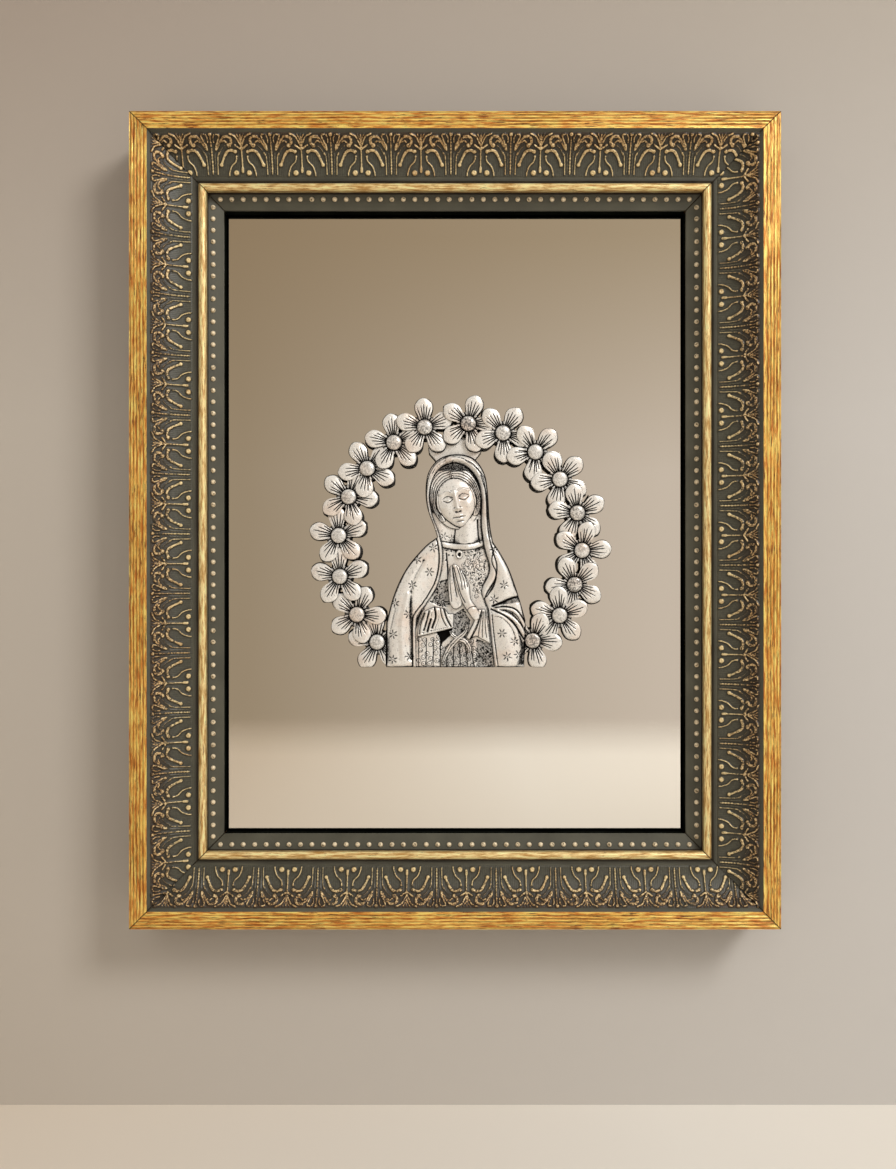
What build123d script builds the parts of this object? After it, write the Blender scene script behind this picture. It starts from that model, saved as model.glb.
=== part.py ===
from build123d import *
import math
import os

# Wall mirror: a mitred scoop moulding with pressed ornament and a row of pearls holds a silvered pane,
# and a cast tin wreath with a veiled praying figure is stuck on the pane.
# Millimetres. X runs to the viewer's right, Z up, and the front faces -Y.
# The origin is the middle of the flat back.

os.makedirs("parts", exist_ok=True)

# ---- driving dimensions: frame --------------------------------------------------------------------
frame_width = 296.2
frame_height = 371.7
moulding_width = 40.0
band_width = 8.3
band_fall = 3.0
arris = 0.8
groove_width = 1.0
bead_radius = 1.85
bead_rise = 4.0
flat_width = 6.8
flat_fall = 2.0
edge_round = 0.5
sight_drop = 17.2
lip_height = 6.3
cove_sag = 2.2
rabbet_width = 7.2
pane_clearance = 1.0
pane_thickness = 3.0
board_thickness = 3.2

# ---- driving dimensions: ornament and pearls ------------------------------------------------------
ornament_margin = 1.5
ornament_skin = 0.8
ornament_relief = 0.8
ornament_period = 27.4
glue_line = 0.05
tile_joint = 0.1
motif_start = {"top": 11.8, "bottom": 5.3, "left": 8.2, "right": -6.6}
pearl_radius = 1.35
pearl_pitch = 5.34
pearl_inset = 2.1

# ---- driving dimensions: fixings on the back ------------------------------------------------------
nail_leg = 6.0
nail_gauge = 0.6
nail_depth = 8.0
nail_insets = (12.0, 27.0)
nail_half_angle = 35
screw_shank = 1.5
screw_head = 3.2
screw_head_height = 1.5
screw_length = 11.0
screw_slot = 0.7
running_clearance = 0.05
button_thickness = 1.2
button_hub = 4.8
button_tip = 3.0
button_reach = 13.0
button_inset = 8.5
button_spread = 0.22
strap_width = 10.0
strap_length = 30.0
strap_thickness = 1.2
strap_inset = 15.0
strap_height = 0.62
hole_edge = 6.0
hole_spacing = 12.0
ring_wire = 1.1
ring_half_width = 8.0
ring_leg = 4.0
ring_corner = 2.5
knuckle_wall = 1.15
bumper_radius = 5.0
bumper_inset = 16.0

# ---- driving dimensions: cast wreath and figure ---------------------------------------------------
applique_x = 0.4
foot_z = -68.0
pad_thickness = 1.5
pad_radius = 3.6
wreath_radius = 57.0
wreath_shift = 2.2
foot_flower_rise = 12.3
crown_drop = 14.9
petal_reach = 14.0
petal_half_width = 3.9
petal_count = 5
flower_plate = 0.9
flower_height = 4.7
shingle_rise = 1.3
hub_radius = 4.2
boss_radius = 3.6
boss_height = 1.4
casting_gap = 0.2
mantle_thickness = 4.0
border_rise = 1.8
gown_thickness = 1.0
sleeve_rise = 1.6
hand_rise = 2.4
head_half_width = 10.4
head_half_height = 13.4
head_rise = 4.6
head_tilt = 11
crown_plate_thickness = 1.6
brooch_radius = 1.3
brooch_rise = 0.7

# ---- derived levels and insets --------------------------------------------------------------------
ledge_height = pane_thickness + board_thickness
sight_height = ledge_height + lip_height
flat_height = sight_height + flat_fall
bead_height = flat_height + bead_rise
crest_height = sight_height + sight_drop
band_curve = (band_width**2 + band_fall**2) / (2 * band_fall)
band_middle_height = crest_height - band_curve + math.sqrt(band_curve**2 - band_width**2 / 4)
cove_start = band_width + arris
bead_inset = moulding_width - flat_width - 2 * bead_radius
cove_end = bead_inset - groove_width
cove_top = crest_height - arris
cove_foot = bead_height + arris / 2
sight_width = frame_width - 2 * moulding_width
sight_length = frame_height - 2 * moulding_width
pane_width = sight_width + 2 * (rabbet_width - pane_clearance)
pane_length = sight_length + 2 * (rabbet_width - pane_clearance)
rabbet_inset = moulding_width - rabbet_width

FRONT = Vector(0, -1, 0)
SIDES = {
    "top": (Vector(0, 0, frame_height / 2), Vector(0, 0, -1), frame_width),
    "bottom": (Vector(0, 0, -frame_height / 2), Vector(0, 0, 1), frame_width),
    "left": (Vector(-frame_width / 2, 0, 0), Vector(1, 0, 0), frame_height),
    "right": (Vector(frame_width / 2, 0, 0), Vector(-1, 0, 0), frame_height),
}


def save(part, name):
    """Label a finished piece and write its file."""
    part.label = name
    export_step(part, f"parts/{name}.step")


def front_plane(height):
    """Plane facing the viewer at this height above the back; its x and y are X and Z."""
    return Plane(origin=(0, -height, 0), x_dir=(1, 0, 0), z_dir=(0, -1, 0))


def back_plane(x, z, height=0.0):
    """Plane facing the wall, with its origin behind the back face by this height."""
    return Plane(origin=(x, height, z), x_dir=(1, 0, 0), z_dir=(0, 1, 0))


def section_plane(side):
    """Plane across a rail: x is the inset from the outer edge, y the height above the back."""
    origin, inward, _ = SIDES[side]
    return Plane(origin=origin, x_dir=inward, z_dir=inward.cross(FRONT))


def mitre(side):
    """Cut both ends of the rail piece being built at 45 degrees through the frame's corners."""
    origin, inward, length = SIDES[side]
    along = inward.cross(FRONT)
    for direction in (along, -along):
        corner = origin + direction * (length / 2)
        cut = Plane(origin=corner, z_dir=direction + inward)
        split(bisect_by=cut, keep=Keep.BOTTOM)


# The cove is an arc whose middle lies deeper than its chord.
cove_chord = Vector(cove_end - cove_start, cove_foot - cove_top)
chord_length = cove_chord.length
chord_unit = cove_chord.normalized()
cove_normal = Vector(-chord_unit.Y, chord_unit.X)
chord_middle = Vector((cove_start + cove_end) / 2, (cove_top + cove_foot) / 2)
cove_radius = (chord_length**2 / 4 + cove_sag**2) / (2 * cove_sag)
cove_centre = chord_middle + cove_normal * (cove_radius - cove_sag)
cove_deepest = chord_middle - cove_normal * cove_sag
cove_half_angle = math.degrees(math.asin(chord_length / 2 / cove_radius))
cove_mid_angle = math.degrees(math.atan2(-cove_normal.Y, -cove_normal.X))
ornament_half_angle = cove_half_angle - math.degrees(ornament_margin / cove_radius)


def cove_band(outer_radius, inner_radius, half_angle):
    """Closed outline of a band that follows the cove, drawn in the section plane."""
    centre = (cove_centre.X, cove_centre.Y)
    start = cove_mid_angle - half_angle
    with BuildLine() as outline:
        far = CenterArc(centre, outer_radius, start, 2 * half_angle)
        near = CenterArc(centre, inner_radius, start, 2 * half_angle)
        Line(far @ 0, near @ 0)
        Line(far @ 1, near @ 1)
    make_face(outline.edges())


# ---- fixings that are let into the rails ----------------------------------------------------------
corner_points = [
    (x * (frame_width / 2 - inset), z * (frame_height / 2 - inset), x, z)
    for x in (-1, 1)
    for z in (-1, 1)
    for inset in nail_insets
]

with BuildPart() as corner_v_nails:
    with BuildSketch(front_plane(0)):
        for x, z, side_x, side_z in corner_points:
            inward_angle = math.degrees(math.atan2(-side_z, -side_x))
            for turn in (-nail_half_angle, nail_half_angle):
                angle = math.radians(inward_angle + turn)
                middle = (x + math.cos(angle) * nail_leg / 2, z + math.sin(angle) * nail_leg / 2)
                with Locations(middle):
                    Rectangle(nail_leg, nail_gauge, rotation=inward_angle + turn)
    extrude(amount=nail_depth)
save(corner_v_nails.part, "corner_v_nails")

button_x = frame_width / 2 - rabbet_inset + button_inset
button_z = frame_height / 2 - rabbet_inset + button_inset
button_level = frame_height * button_spread
# name: pivot x, pivot z, direction of the tip in degrees from +X towards +Z
BUTTONS = {
    "turn_button_1": (-button_x, button_level, 0),
    "turn_button_2": (-button_x, -button_level, 0),
    "turn_button_3": (button_x, button_level, 180),
    "turn_button_4": (button_x, -button_level, 180),
    "turn_button_5": (0, button_z, 270),
    "turn_button_6": (0, -button_z, 90),
}
strap_x = frame_width / 2 - strap_inset
knuckle_radius = ring_wire + running_clearance + knuckle_wall
bumper_thickness = 2 * knuckle_radius
knuckle_z = frame_height / 2 * strap_height + strap_length / 2
strap_hole_heights = (knuckle_z - strap_length + hole_edge, knuckle_z - strap_length + hole_edge + hole_spacing)
HANGERS = {"left": -strap_x, "right": strap_x}
strap_holes = [(x, z) for x in HANGERS.values() for z in strap_hole_heights]
pilot_radius = screw_shank + running_clearance

with BuildPart() as pilot_holes:
    with BuildSketch(front_plane(0)):
        with Locations([(pivot[0], pivot[1]) for pivot in BUTTONS.values()] + strap_holes):
            Circle(pilot_radius)
    extrude(amount=screw_length)


# ---- rails ----------------------------------------------------------------------------------------
def build_rail(side):
    """One mitred length of the moulding."""
    with BuildPart() as rail:
        with BuildSketch(section_plane(side)):
            with BuildLine():
                Polyline((0, 0), (0, crest_height - band_fall))
                ThreePointArc(
                    (0, crest_height - band_fall),
                    (band_width / 2, band_middle_height),
                    (band_width, crest_height),
                )
                Line((band_width, crest_height), (cove_start, cove_top))
                ThreePointArc(
                    (cove_start, cove_top),
                    (cove_deepest.X, cove_deepest.Y),
                    (cove_end, cove_foot),
                )
                Polyline(
                    (cove_end, cove_foot),
                    (cove_end + groove_width / 3, bead_height),
                    (bead_inset, bead_height),
                )
                ThreePointArc(
                    (bead_inset, bead_height),
                    (bead_inset + bead_radius, bead_height + bead_radius),
                    (bead_inset + 2 * bead_radius, bead_height),
                )
                Polyline(
                    (bead_inset + 2 * bead_radius, bead_height),
                    (bead_inset + 2 * bead_radius, flat_height),
                    (moulding_width - edge_round, sight_height),
                    (moulding_width, sight_height - edge_round),
                    (moulding_width, ledge_height),
                    (rabbet_inset, ledge_height),
                    (rabbet_inset, 0),
                    (0, 0),
                )
            make_face()
        extrude(amount=SIDES[side][2] / 2, both=True)
        mitre(side)
        add([corner_v_nails.part, pilot_holes.part], mode=Mode.SUBTRACT)
    save(rail.part, f"{side}_rail")


for side in SIDES:
    build_rail(side)


# ---- pressed ornament on the cove -----------------------------------------------------------------
def draw_palmette(span):
    """Fan on a stem with its arms, drawn about the middle of a length of ornament."""
    with BuildLine() as fan:
        Polyline(
            (0, span * 0.42),
            (span * 0.58, span * 0.95),
            (span * 0.2, span * 0.86),
            (0, span * 0.96),
            (-span * 0.2, span * 0.86),
            (-span * 0.58, span * 0.95),
            close=True,
        )
    make_face(fan.edges())
    with Locations((0, -span * 0.2)):
        Rectangle(span * 0.12, span * 1.3)
    for hand in (-1, 1):
        with Locations((hand * span * 0.44, span * 0.1)):
            Ellipse(span * 0.16, span * 0.26)
        with Locations((hand * span * 0.88, -span * 0.3)):
            Ellipse(span * 0.14, span * 0.3)
        with Locations((hand * span * 0.34, -span * 0.84)):
            Circle(span * 0.14)


def draw_bud(span):
    """Stem with two petals and two scrolls, which stands between the palmettes."""
    with Locations((0, -span * 0.3)):
        Rectangle(span * 0.1, span * 1.2)
    for hand in (-1, 1):
        with Locations((hand * span * 0.32, span * 0.5)):
            Ellipse(span * 0.2, span * 0.4)
        with Locations((hand * span * 0.7, span * 0.3)):
            Circle(span * 0.16)


skin_face = cove_radius - glue_line - ornament_skin
tile_length = ornament_period - tile_joint
motif_plane = Plane(
    origin=(chord_middle.X, chord_middle.Y, 0),
    x_dir=(0, 0, -1),
    z_dir=(cove_normal.X, cove_normal.Y, 0),
)

with BuildPart() as motifs:
    half_span = math.radians(ornament_half_angle) * cove_radius
    with BuildSketch(motif_plane):
        draw_palmette(half_span)
        with Locations((-ornament_period / 2, 0), (ornament_period / 2, 0)):
            draw_bud(half_span)
    extrude(amount=cove_sag * 2, both=True)
    with BuildSketch(Plane.XY):
        cove_band(skin_face + ornament_skin / 2, skin_face - ornament_relief, ornament_half_angle)
    extrude(amount=tile_length / 2, both=True, mode=Mode.INTERSECT)

# One pressed length, with its section in the XY plane and the rail along Z.
with BuildPart() as ornament_tile:
    with BuildSketch(Plane.XY):
        cove_band(cove_radius - glue_line, skin_face, ornament_half_angle)
    extrude(amount=tile_length / 2, both=True)
    add(motifs.part)


def build_ornament(side):
    """Pressed lengths laid end to end in the cove; the mitres cut those at the corners."""
    _, inward, length = SIDES[side]
    along = inward.cross(FRONT)
    phase = motif_start[side] * (along.X + along.Z)
    reach = int(length / 2 / ornament_period) + 1
    shifts = [phase + k * ornament_period for k in range(-reach, reach + 1)]
    ends = []
    whole = []
    for shift in shifts:
        far_end = abs(shift) + tile_length / 2
        near_end = abs(shift) - tile_length / 2
        tile = ornament_tile.part.moved(section_plane(side).offset(shift).location)
        if far_end < length / 2 - cove_end:
            whole.append(tile)
        elif near_end < length / 2 - cove_start - ornament_margin:
            ends.append(tile)
    with BuildPart() as ornament:
        add(ends)
        mitre(side)
        add(whole)
    save(ornament.part, f"{side}_ornament")


for side in SIDES:
    build_ornament(side)


# ---- pearls on the inner flat ---------------------------------------------------------------------
def build_pearls(side):
    """Half-round pearls glued in a row on the sloping flat beside the bead."""
    origin, inward, length = SIDES[side]
    along = inward.cross(FRONT)
    flat_inset = bead_inset + 2 * bead_radius
    slope = Vector(moulding_width - edge_round - flat_inset, sight_height - flat_height).normalized()
    seat_inset = flat_inset + pearl_inset * slope.X
    seat_height = flat_height + pearl_inset * slope.Y
    seat = origin + inward * seat_inset + FRONT * seat_height
    normal = inward * -slope.Y + FRONT * slope.X
    row = length - 2 * seat_inset - 4 * pearl_radius
    count = int(row / pearl_pitch) + 1
    with BuildPart() as pearls:
        with Locations(Plane(origin=seat, x_dir=along, z_dir=normal)):
            with GridLocations(pearl_pitch, pearl_pitch, count, 1):
                Sphere(pearl_radius, arc_size1=0, align=(Align.CENTER, Align.CENTER, Align.MIN))
    save(pearls.part, f"{side}_pearls")


for side in SIDES:
    build_pearls(side)

# ---- pane and backing board -----------------------------------------------------------------------
with BuildPart() as mirror_pane:
    with BuildSketch(front_plane(board_thickness)):
        Rectangle(pane_width, pane_length)
    extrude(amount=pane_thickness)
save(mirror_pane.part, "mirror_pane")

with BuildPart() as backing_board:
    with BuildSketch(front_plane(0)):
        Rectangle(pane_width, pane_length)
    extrude(amount=board_thickness)
save(backing_board.part, "backing_board")

# ---- screws ---------------------------------------------------------------------------------------
with BuildPart() as pan_screw:
    with BuildSketch(back_plane(0, 0)):
        Circle(screw_head)
    extrude(amount=screw_head_height)
    fillet(pan_screw.edges().sort_by(Axis.Y)[-1], screw_head_height * 0.6)
    with BuildSketch(back_plane(0, 0, screw_head_height)):
        Rectangle(2 * screw_head, screw_slot)
    extrude(amount=-screw_slot, mode=Mode.SUBTRACT)
    with BuildSketch(back_plane(0, 0)):
        Circle(screw_shank)
    extrude(amount=-screw_length)

with BuildPart() as turn_button_screws:
    for x, z, _ in BUTTONS.values():
        add(pan_screw.part.moved(Location((x, button_thickness, z))))
save(turn_button_screws.part, "turn_button_screws")

with BuildPart() as hanger_screws:
    for x, z in strap_holes:
        add(pan_screw.part.moved(Location((x, strap_thickness, z))))
save(hanger_screws.part, "hanger_screws")

# ---- turn buttons ---------------------------------------------------------------------------------
for name, (x, z, direction) in BUTTONS.items():
    tip_x = button_reach * math.cos(math.radians(direction))
    tip_z = button_reach * math.sin(math.radians(direction))
    with BuildPart() as turn_button:
        with BuildSketch(front_plane(-button_thickness)):
            with Locations((x, z)):
                Circle(button_hub)
            with Locations((x + tip_x, z + tip_z)):
                Circle(button_tip)
            make_hull()
            with Locations((x, z)):
                Circle(pilot_radius, mode=Mode.SUBTRACT)
        extrude(amount=button_thickness)
    save(turn_button.part, name)

# ---- hangers --------------------------------------------------------------------------------------
for side, x in HANGERS.items():
    with BuildPart() as strap:
        with BuildSketch(front_plane(-strap_thickness)):
            with Locations((x, knuckle_z - strap_length / 2)):
                Rectangle(strap_width, strap_length)
            for hole_z in strap_hole_heights:
                with Locations((x, hole_z)):
                    Circle(pilot_radius, mode=Mode.SUBTRACT)
        extrude(amount=strap_thickness)
        with BuildSketch(Plane(origin=(x, knuckle_radius, knuckle_z), x_dir=(0, 1, 0), z_dir=(1, 0, 0))):
            Circle(knuckle_radius)
        extrude(amount=strap_width / 2, both=True)
        with BuildSketch(Plane(origin=(x, knuckle_radius, knuckle_z), x_dir=(0, 1, 0), z_dir=(1, 0, 0))):
            Circle(ring_wire + running_clearance)
        extrude(amount=strap_width, both=True, mode=Mode.SUBTRACT)
    save(strap.part, f"hanger_strap_{side}")

    with BuildPart() as d_ring:
        with BuildLine(Plane(origin=(x, knuckle_radius, knuckle_z), x_dir=(1, 0, 0), z_dir=(0, -1, 0))) as loop:
            bar_end = ring_half_width - ring_corner
            bar = Line((-bar_end, 0), (bar_end, 0))
            foot_right = CenterArc((bar_end, ring_corner), ring_corner, -90, 90)
            leg_right = Line(foot_right @ 1, (ring_half_width, ring_leg))
            bow = CenterArc((0, ring_leg), ring_half_width, 0, 180)
            leg_left = Line(bow @ 1, (-ring_half_width, ring_corner))
            foot_left = CenterArc((-bar_end, ring_corner), ring_corner, 180, 90)
        with BuildSketch(Plane(origin=(x, knuckle_radius, knuckle_z), x_dir=(0, 1, 0), z_dir=(1, 0, 0))):
            Circle(ring_wire)
        extrude(amount=bar_end, both=True)
        for piece in (foot_right, leg_right, bow, leg_left, foot_left):
            with BuildSketch(Plane(origin=piece @ 0, z_dir=piece % 0)):
                Circle(ring_wire)
            sweep(path=piece)
    save(d_ring.part, f"d_ring_{side}")

# ---- wall bumpers ---------------------------------------------------------------------------------
with BuildPart() as wall_bumpers:
    for x in (-1, 1):
        bumper_x = x * (frame_width / 2 - bumper_inset)
        with BuildSketch(back_plane(bumper_x, bumper_inset - frame_height / 2)):
            Circle(bumper_radius)
    extrude(amount=bumper_thickness, taper=8)
save(wall_bumpers.part, "wall_bumpers")

# ---- cast figure ----------------------------------------------------------------------------------
glass_face = ledge_height
wreath_angles = (-53.2, -35.8, -19.6, -3.1, 14.8, 33.0, 50.8, 69.0, 86.3)
wreath_angles += (107.1, 123.4, 141.2, 157.3, 176.3, 195.3, 214.5, 229.8)
wreath_offsets = (-0.3, 0.4, -0.1, 0.1, -0.3, -1.4, -1.5, -1.4, -0.6)
wreath_offsets += (0.1, -0.3, -0.9, -0.2, 0.2, 1.6, 1.8, 3.5)
petal_turns = (-4, 21, 42, 4, 27, 44, 48, 56, 72, 93, 97, 118, 140, 95, 94, 141, 95)
wreath_x = applique_x + wreath_shift
first_angle = math.radians(wreath_angles[0])
wreath_z = foot_z + foot_flower_rise - wreath_radius * math.sin(first_angle)
figure_height = wreath_z + wreath_radius - crown_drop - foot_z
unit = figure_height / 100
plate_height = glass_face + pad_thickness + mantle_thickness


def figure(*points):
    """Points given in hundredths of the figure's height, from the middle of its foot."""
    return [(applique_x + x * unit, foot_z + z * unit) for x, z in points]


def spread(gap, *points):
    """The same figure points moved away from the figure's middle by a gap in millimetres."""
    step = gap / unit
    return [(x + step * math.copysign(1, x), z + step * math.copysign(1, z - 50)) for x, z in points]


def draw_mantle(gap=0.0):
    """Outline of the veil and the cloak that falls from it, grown by the gap."""
    foot = spread(gap, (-32.6, 21), (-32.6, 0), (32.2, 0), (32.8, 22))
    right = spread(gap, (32.8, 22), (29.4, 33.9), (25.2, 45.6), (21.2, 53.1), (17.4, 59))
    veil_right = ((17.4, 59), (16, 68), (15, 83.2), (13.2, 91.6), (8.2, 98.2), (0.3, 100))
    veil_left = ((-7.6, 97.9), (-12.6, 91.8), (-14.1, 84), (-13.4, 75), (-10.3, 66.4), (-8.6, 61))
    veil = spread(gap, *veil_right, *veil_left)
    left = spread(gap, (-8.6, 61), (-14.6, 56.4), (-22.8, 46.7), (-28.6, 35), (-32.6, 21))
    with BuildLine() as outline:
        Polyline(*figure(*foot))
        Spline(*figure(*right))
        Spline(*figure(*veil))
        Spline(*figure(*left))
    make_face(outline.edges())


def draw_opening(gap=0.0):
    """Opening of the mantle, which shows the head and the gown, drawn in by the gap."""
    foot = spread(-gap, (-18.6, 18), (-18.4, 0), (17.6, 0), (14.6, 27.5))
    right = spread(-gap, (14.6, 27.5), (12, 36.2), (15.4, 46), (13, 56), (11.6, 66), (12, 78))
    crown = spread(-gap, (12, 78), (10.6, 86), (5.4, 93), (-1.6, 95.2), (-9, 91), (-12.2, 81), (-11, 71))
    left = spread(-gap, (-11, 71), (-7.2, 60.5), (-6.1, 50), (-9, 37), (-14.4, 28.4), (-18.6, 18))
    with BuildLine() as outline:
        Polyline(*figure(*foot))
        Spline(*figure(*right))
        Spline(*figure(*crown))
        Spline(*figure(*left))
    make_face(outline.edges())


with BuildPart() as mantle:
    with BuildSketch(front_plane(glass_face + pad_thickness)):
        draw_mantle()
    extrude(amount=mantle_thickness)
    with BuildSketch(front_plane(plate_height)):
        draw_mantle()
        with BuildSketch(mode=Mode.SUBTRACT):
            draw_opening()
    extrude(amount=border_rise)
save(mantle.part, "mantle")

gown_height = plate_height + gown_thickness
with BuildPart() as gown:
    with BuildSketch(front_plane(plate_height)):
        draw_opening(casting_gap)
        with Locations(figure((0, 32))):
            Rectangle(200 * unit, 64 * unit, mode=Mode.INTERSECT)
    extrude(amount=gown_thickness)
save(gown.part, "gown")

egg = scale(Sphere(1), by=(head_half_width * unit, head_rise, head_half_height * unit))
head_x, head_z = figure((0, 78.8))[0]
with BuildPart() as head:
    add(egg.moved(Location((head_x, -plate_height, head_z), (0, -head_tilt, 0))))
    split(bisect_by=front_plane(plate_height), keep=Keep.TOP)
save(head.part, "head")

with BuildPart() as left_sleeve:
    with BuildSketch(front_plane(gown_height)):
        with BuildLine():
            Polyline(*figure((-3, 26), (-9, 26.8), (-13, 25), (-16.6, 18), (-17, 14), (-1.4, 17.6)), close=True)
        make_face()
    extrude(amount=sleeve_rise, taper=12)
save(left_sleeve.part, "left_sleeve")

with BuildPart() as right_sleeve:
    with BuildSketch(front_plane(gown_height)):
        with BuildLine():
            Polyline(*figure((12.6, 26.6), (10.4, 26.6), (5.2, 14.4), (8, 13.2), (14.2, 11.4)), close=True)
        make_face()
    extrude(amount=sleeve_rise, taper=12)
save(right_sleeve.part, "right_sleeve")

FRONT_HAND = ((-1.9, 47.7), (2.6, 44), (6.4, 38), (7.4, 31.4), (9.8, 27.2), (7.2, 27.2), (3.4, 29), (0, 38))
REAR_HAND = ((-2.6, 46.8), (-0.7, 38.4), (2.4, 29), (-1, 27.6), (-3.4, 36))
with BuildPart() as praying_hands:
    for outline, rise in ((FRONT_HAND, hand_rise), (REAR_HAND, hand_rise * 0.6)):
        with BuildSketch(front_plane(gown_height)):
            with BuildLine():
                Polyline(*figure(*outline), close=True)
            make_face()
        extrude(amount=rise, taper=14)
save(praying_hands.part, "praying_hands")

with BuildPart() as sash:
    with BuildSketch(front_plane(gown_height)):
        for start, end in (((-5.5, 2), (4, 15.6)), ((5.6, 1.6), (-0.8, 15.6))):
            (start_x, start_z), (end_x, end_z) = figure(start, end)
            length = math.hypot(end_x - start_x, end_z - start_z)
            turn = math.degrees(math.atan2(end_z - start_z, end_x - start_x))
            with Locations(((start_x + end_x) / 2, (start_z + end_z) / 2)):
                SlotOverall(length, 2.2 * unit, rotation=turn)
    extrude(amount=gown_thickness)
save(sash.part, "sash")

with BuildPart() as brooch:
    with BuildSketch(front_plane(gown_height)):
        with Locations(figure((1.7, 53))):
            Ellipse(brooch_radius * unit, brooch_radius * 1.5 * unit)
    extrude(amount=brooch_rise)
save(brooch.part, "brooch")

# ---- cast wreath ----------------------------------------------------------------------------------
flower_centres = []
for angle, offset_out in zip(wreath_angles, wreath_offsets):
    reach = wreath_radius + offset_out
    turn = math.radians(angle)
    flower_centres.append((wreath_x + reach * math.cos(turn), wreath_z + reach * math.sin(turn)))


def flower_plane(index, lift=0.0):
    """Plane of one flower, tipped so that it laps over the next flower and under the one before."""
    x, z = flower_centres[index]
    ahead = min(index + 1, len(flower_centres) - 1)
    step_x = flower_centres[ahead][0] - flower_centres[ahead - 1][0]
    step_z = flower_centres[ahead][1] - flower_centres[ahead - 1][1]
    step = math.hypot(step_x, step_z)
    slope = shingle_rise / step
    normal = Vector(-slope * step_x / step, -1, -slope * step_z / step).normalized()
    origin = Vector(x, -(glass_face + flower_height), z) + normal * lift
    return Plane(origin=origin, x_dir=Vector(1, 0, 0) - normal * normal.X, z_dir=normal)


def build_flower(index):
    """Five-petalled flower on its own stub, trimmed for its neighbours, the mantle and the foot line."""
    x, z = flower_centres[index]
    name = f"flower_{index + 1:02d}"
    beside_mantle = (0, 1, len(flower_centres) - 2, len(flower_centres) - 1)
    neighbours = [other for other in (index - 1, index + 1) if 0 <= other < len(flower_centres)]
    with BuildPart() as flower:
        with BuildSketch(front_plane(glass_face + pad_thickness)):
            with Locations((x, z)):
                Circle(hub_radius)
        extrude(amount=flower_height - pad_thickness + flower_plate / 2)
        with BuildSketch(flower_plane(index)):
            with Locations(Location((0, 0), petal_turns[index])):
                with PolarLocations((petal_reach + boss_radius / 2) / 2, petal_count):
                    Ellipse((petal_reach - boss_radius / 2) / 2, petal_half_width)
                Circle(boss_radius + petal_half_width / 2)
        extrude(amount=flower_plate)
        with BuildSketch(front_plane(glass_face)):
            for other in neighbours:
                with Locations(flower_centres[other]):
                    Circle(boss_radius + casting_gap if other > index else hub_radius + casting_gap)
            if index in beside_mantle:
                draw_mantle(casting_gap)
                with Locations((wreath_x, foot_z - petal_reach)):
                    Rectangle(4 * wreath_radius, 2 * petal_reach)
        extrude(amount=3 * flower_height, mode=Mode.SUBTRACT)
    save(flower.part, name)


for index in range(len(flower_centres)):
    build_flower(index)

with BuildPart() as flower_bosses:
    for index in range(len(flower_centres)):
        with BuildSketch(flower_plane(index, flower_plate)):
            Circle(boss_radius)
        extrude(amount=boss_height, taper=20)
save(flower_bosses.part, "flower_bosses")

with BuildPart() as crown_plate:
    with BuildSketch(front_plane(glass_face + pad_thickness)):
        with BuildLine():
            Polyline(*figure((-11, 93), (-13, 103), (-6, 107), (4, 107), (12, 104), (11.6, 93)), close=True)
        make_face()
        with BuildSketch(mode=Mode.SUBTRACT):
            draw_mantle(casting_gap)
    extrude(amount=crown_plate_thickness)
save(crown_plate.part, "crown_plate")

with BuildPart() as adhesive_pads:
    with BuildSketch(front_plane(glass_face)):
        for centre in flower_centres:
            with Locations(centre):
                Circle(pad_radius)
        for centre in figure((-22, 8), (22, 8), (0, 30), (0, 84)):
            with Locations(centre):
                Circle(2 * pad_radius)
    extrude(amount=pad_thickness)
save(adhesive_pads.part, "adhesive_pads")
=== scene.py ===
"""Wall mirror in a mitred scoop moulding, with a cast tin wreath and a praying figure on the glass.

Laid out as an add-on and run as a script. Lengths are metres. X runs to the viewer's right, Z up, and
the front faces -Y. The origin is the middle of the frame's flat back. Rails are worked out as distance
along the rail, inset from the frame's outer edge and height above the back. The cast figure is worked
out in hundredths of its own height, from the middle of its foot.
"""

import math
from contextlib import contextmanager

import bmesh
import bpy
import numpy as np
from bpy.props import FloatProperty, FloatVectorProperty, IntProperty, PointerProperty
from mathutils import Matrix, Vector
from mathutils.geometry import delaunay_2d_cdt


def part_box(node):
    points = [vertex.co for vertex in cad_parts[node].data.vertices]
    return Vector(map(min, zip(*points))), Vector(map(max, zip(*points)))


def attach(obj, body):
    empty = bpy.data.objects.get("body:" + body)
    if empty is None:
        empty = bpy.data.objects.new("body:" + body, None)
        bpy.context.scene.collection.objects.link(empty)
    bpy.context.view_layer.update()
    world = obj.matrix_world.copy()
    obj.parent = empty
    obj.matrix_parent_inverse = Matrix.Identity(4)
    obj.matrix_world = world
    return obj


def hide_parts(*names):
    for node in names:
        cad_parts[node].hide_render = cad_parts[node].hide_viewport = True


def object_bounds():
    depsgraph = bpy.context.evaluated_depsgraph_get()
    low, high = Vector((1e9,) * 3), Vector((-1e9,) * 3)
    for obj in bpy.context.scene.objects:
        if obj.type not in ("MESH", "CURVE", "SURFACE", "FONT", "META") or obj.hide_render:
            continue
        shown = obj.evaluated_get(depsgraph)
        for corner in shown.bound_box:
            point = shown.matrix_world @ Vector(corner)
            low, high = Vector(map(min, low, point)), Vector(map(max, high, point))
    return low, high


bl_info = {
    "name": "Wall mirror with a cast wreath",
    "version": (1, 0, 0),
    "blender": (4, 5, 0),
    "location": "View3D > Sidebar > Mirror",
    "description": "Builds the mirror's moulding, ornament, glass and cast tin wreath around the frame",
    "category": "Object",
}

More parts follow.
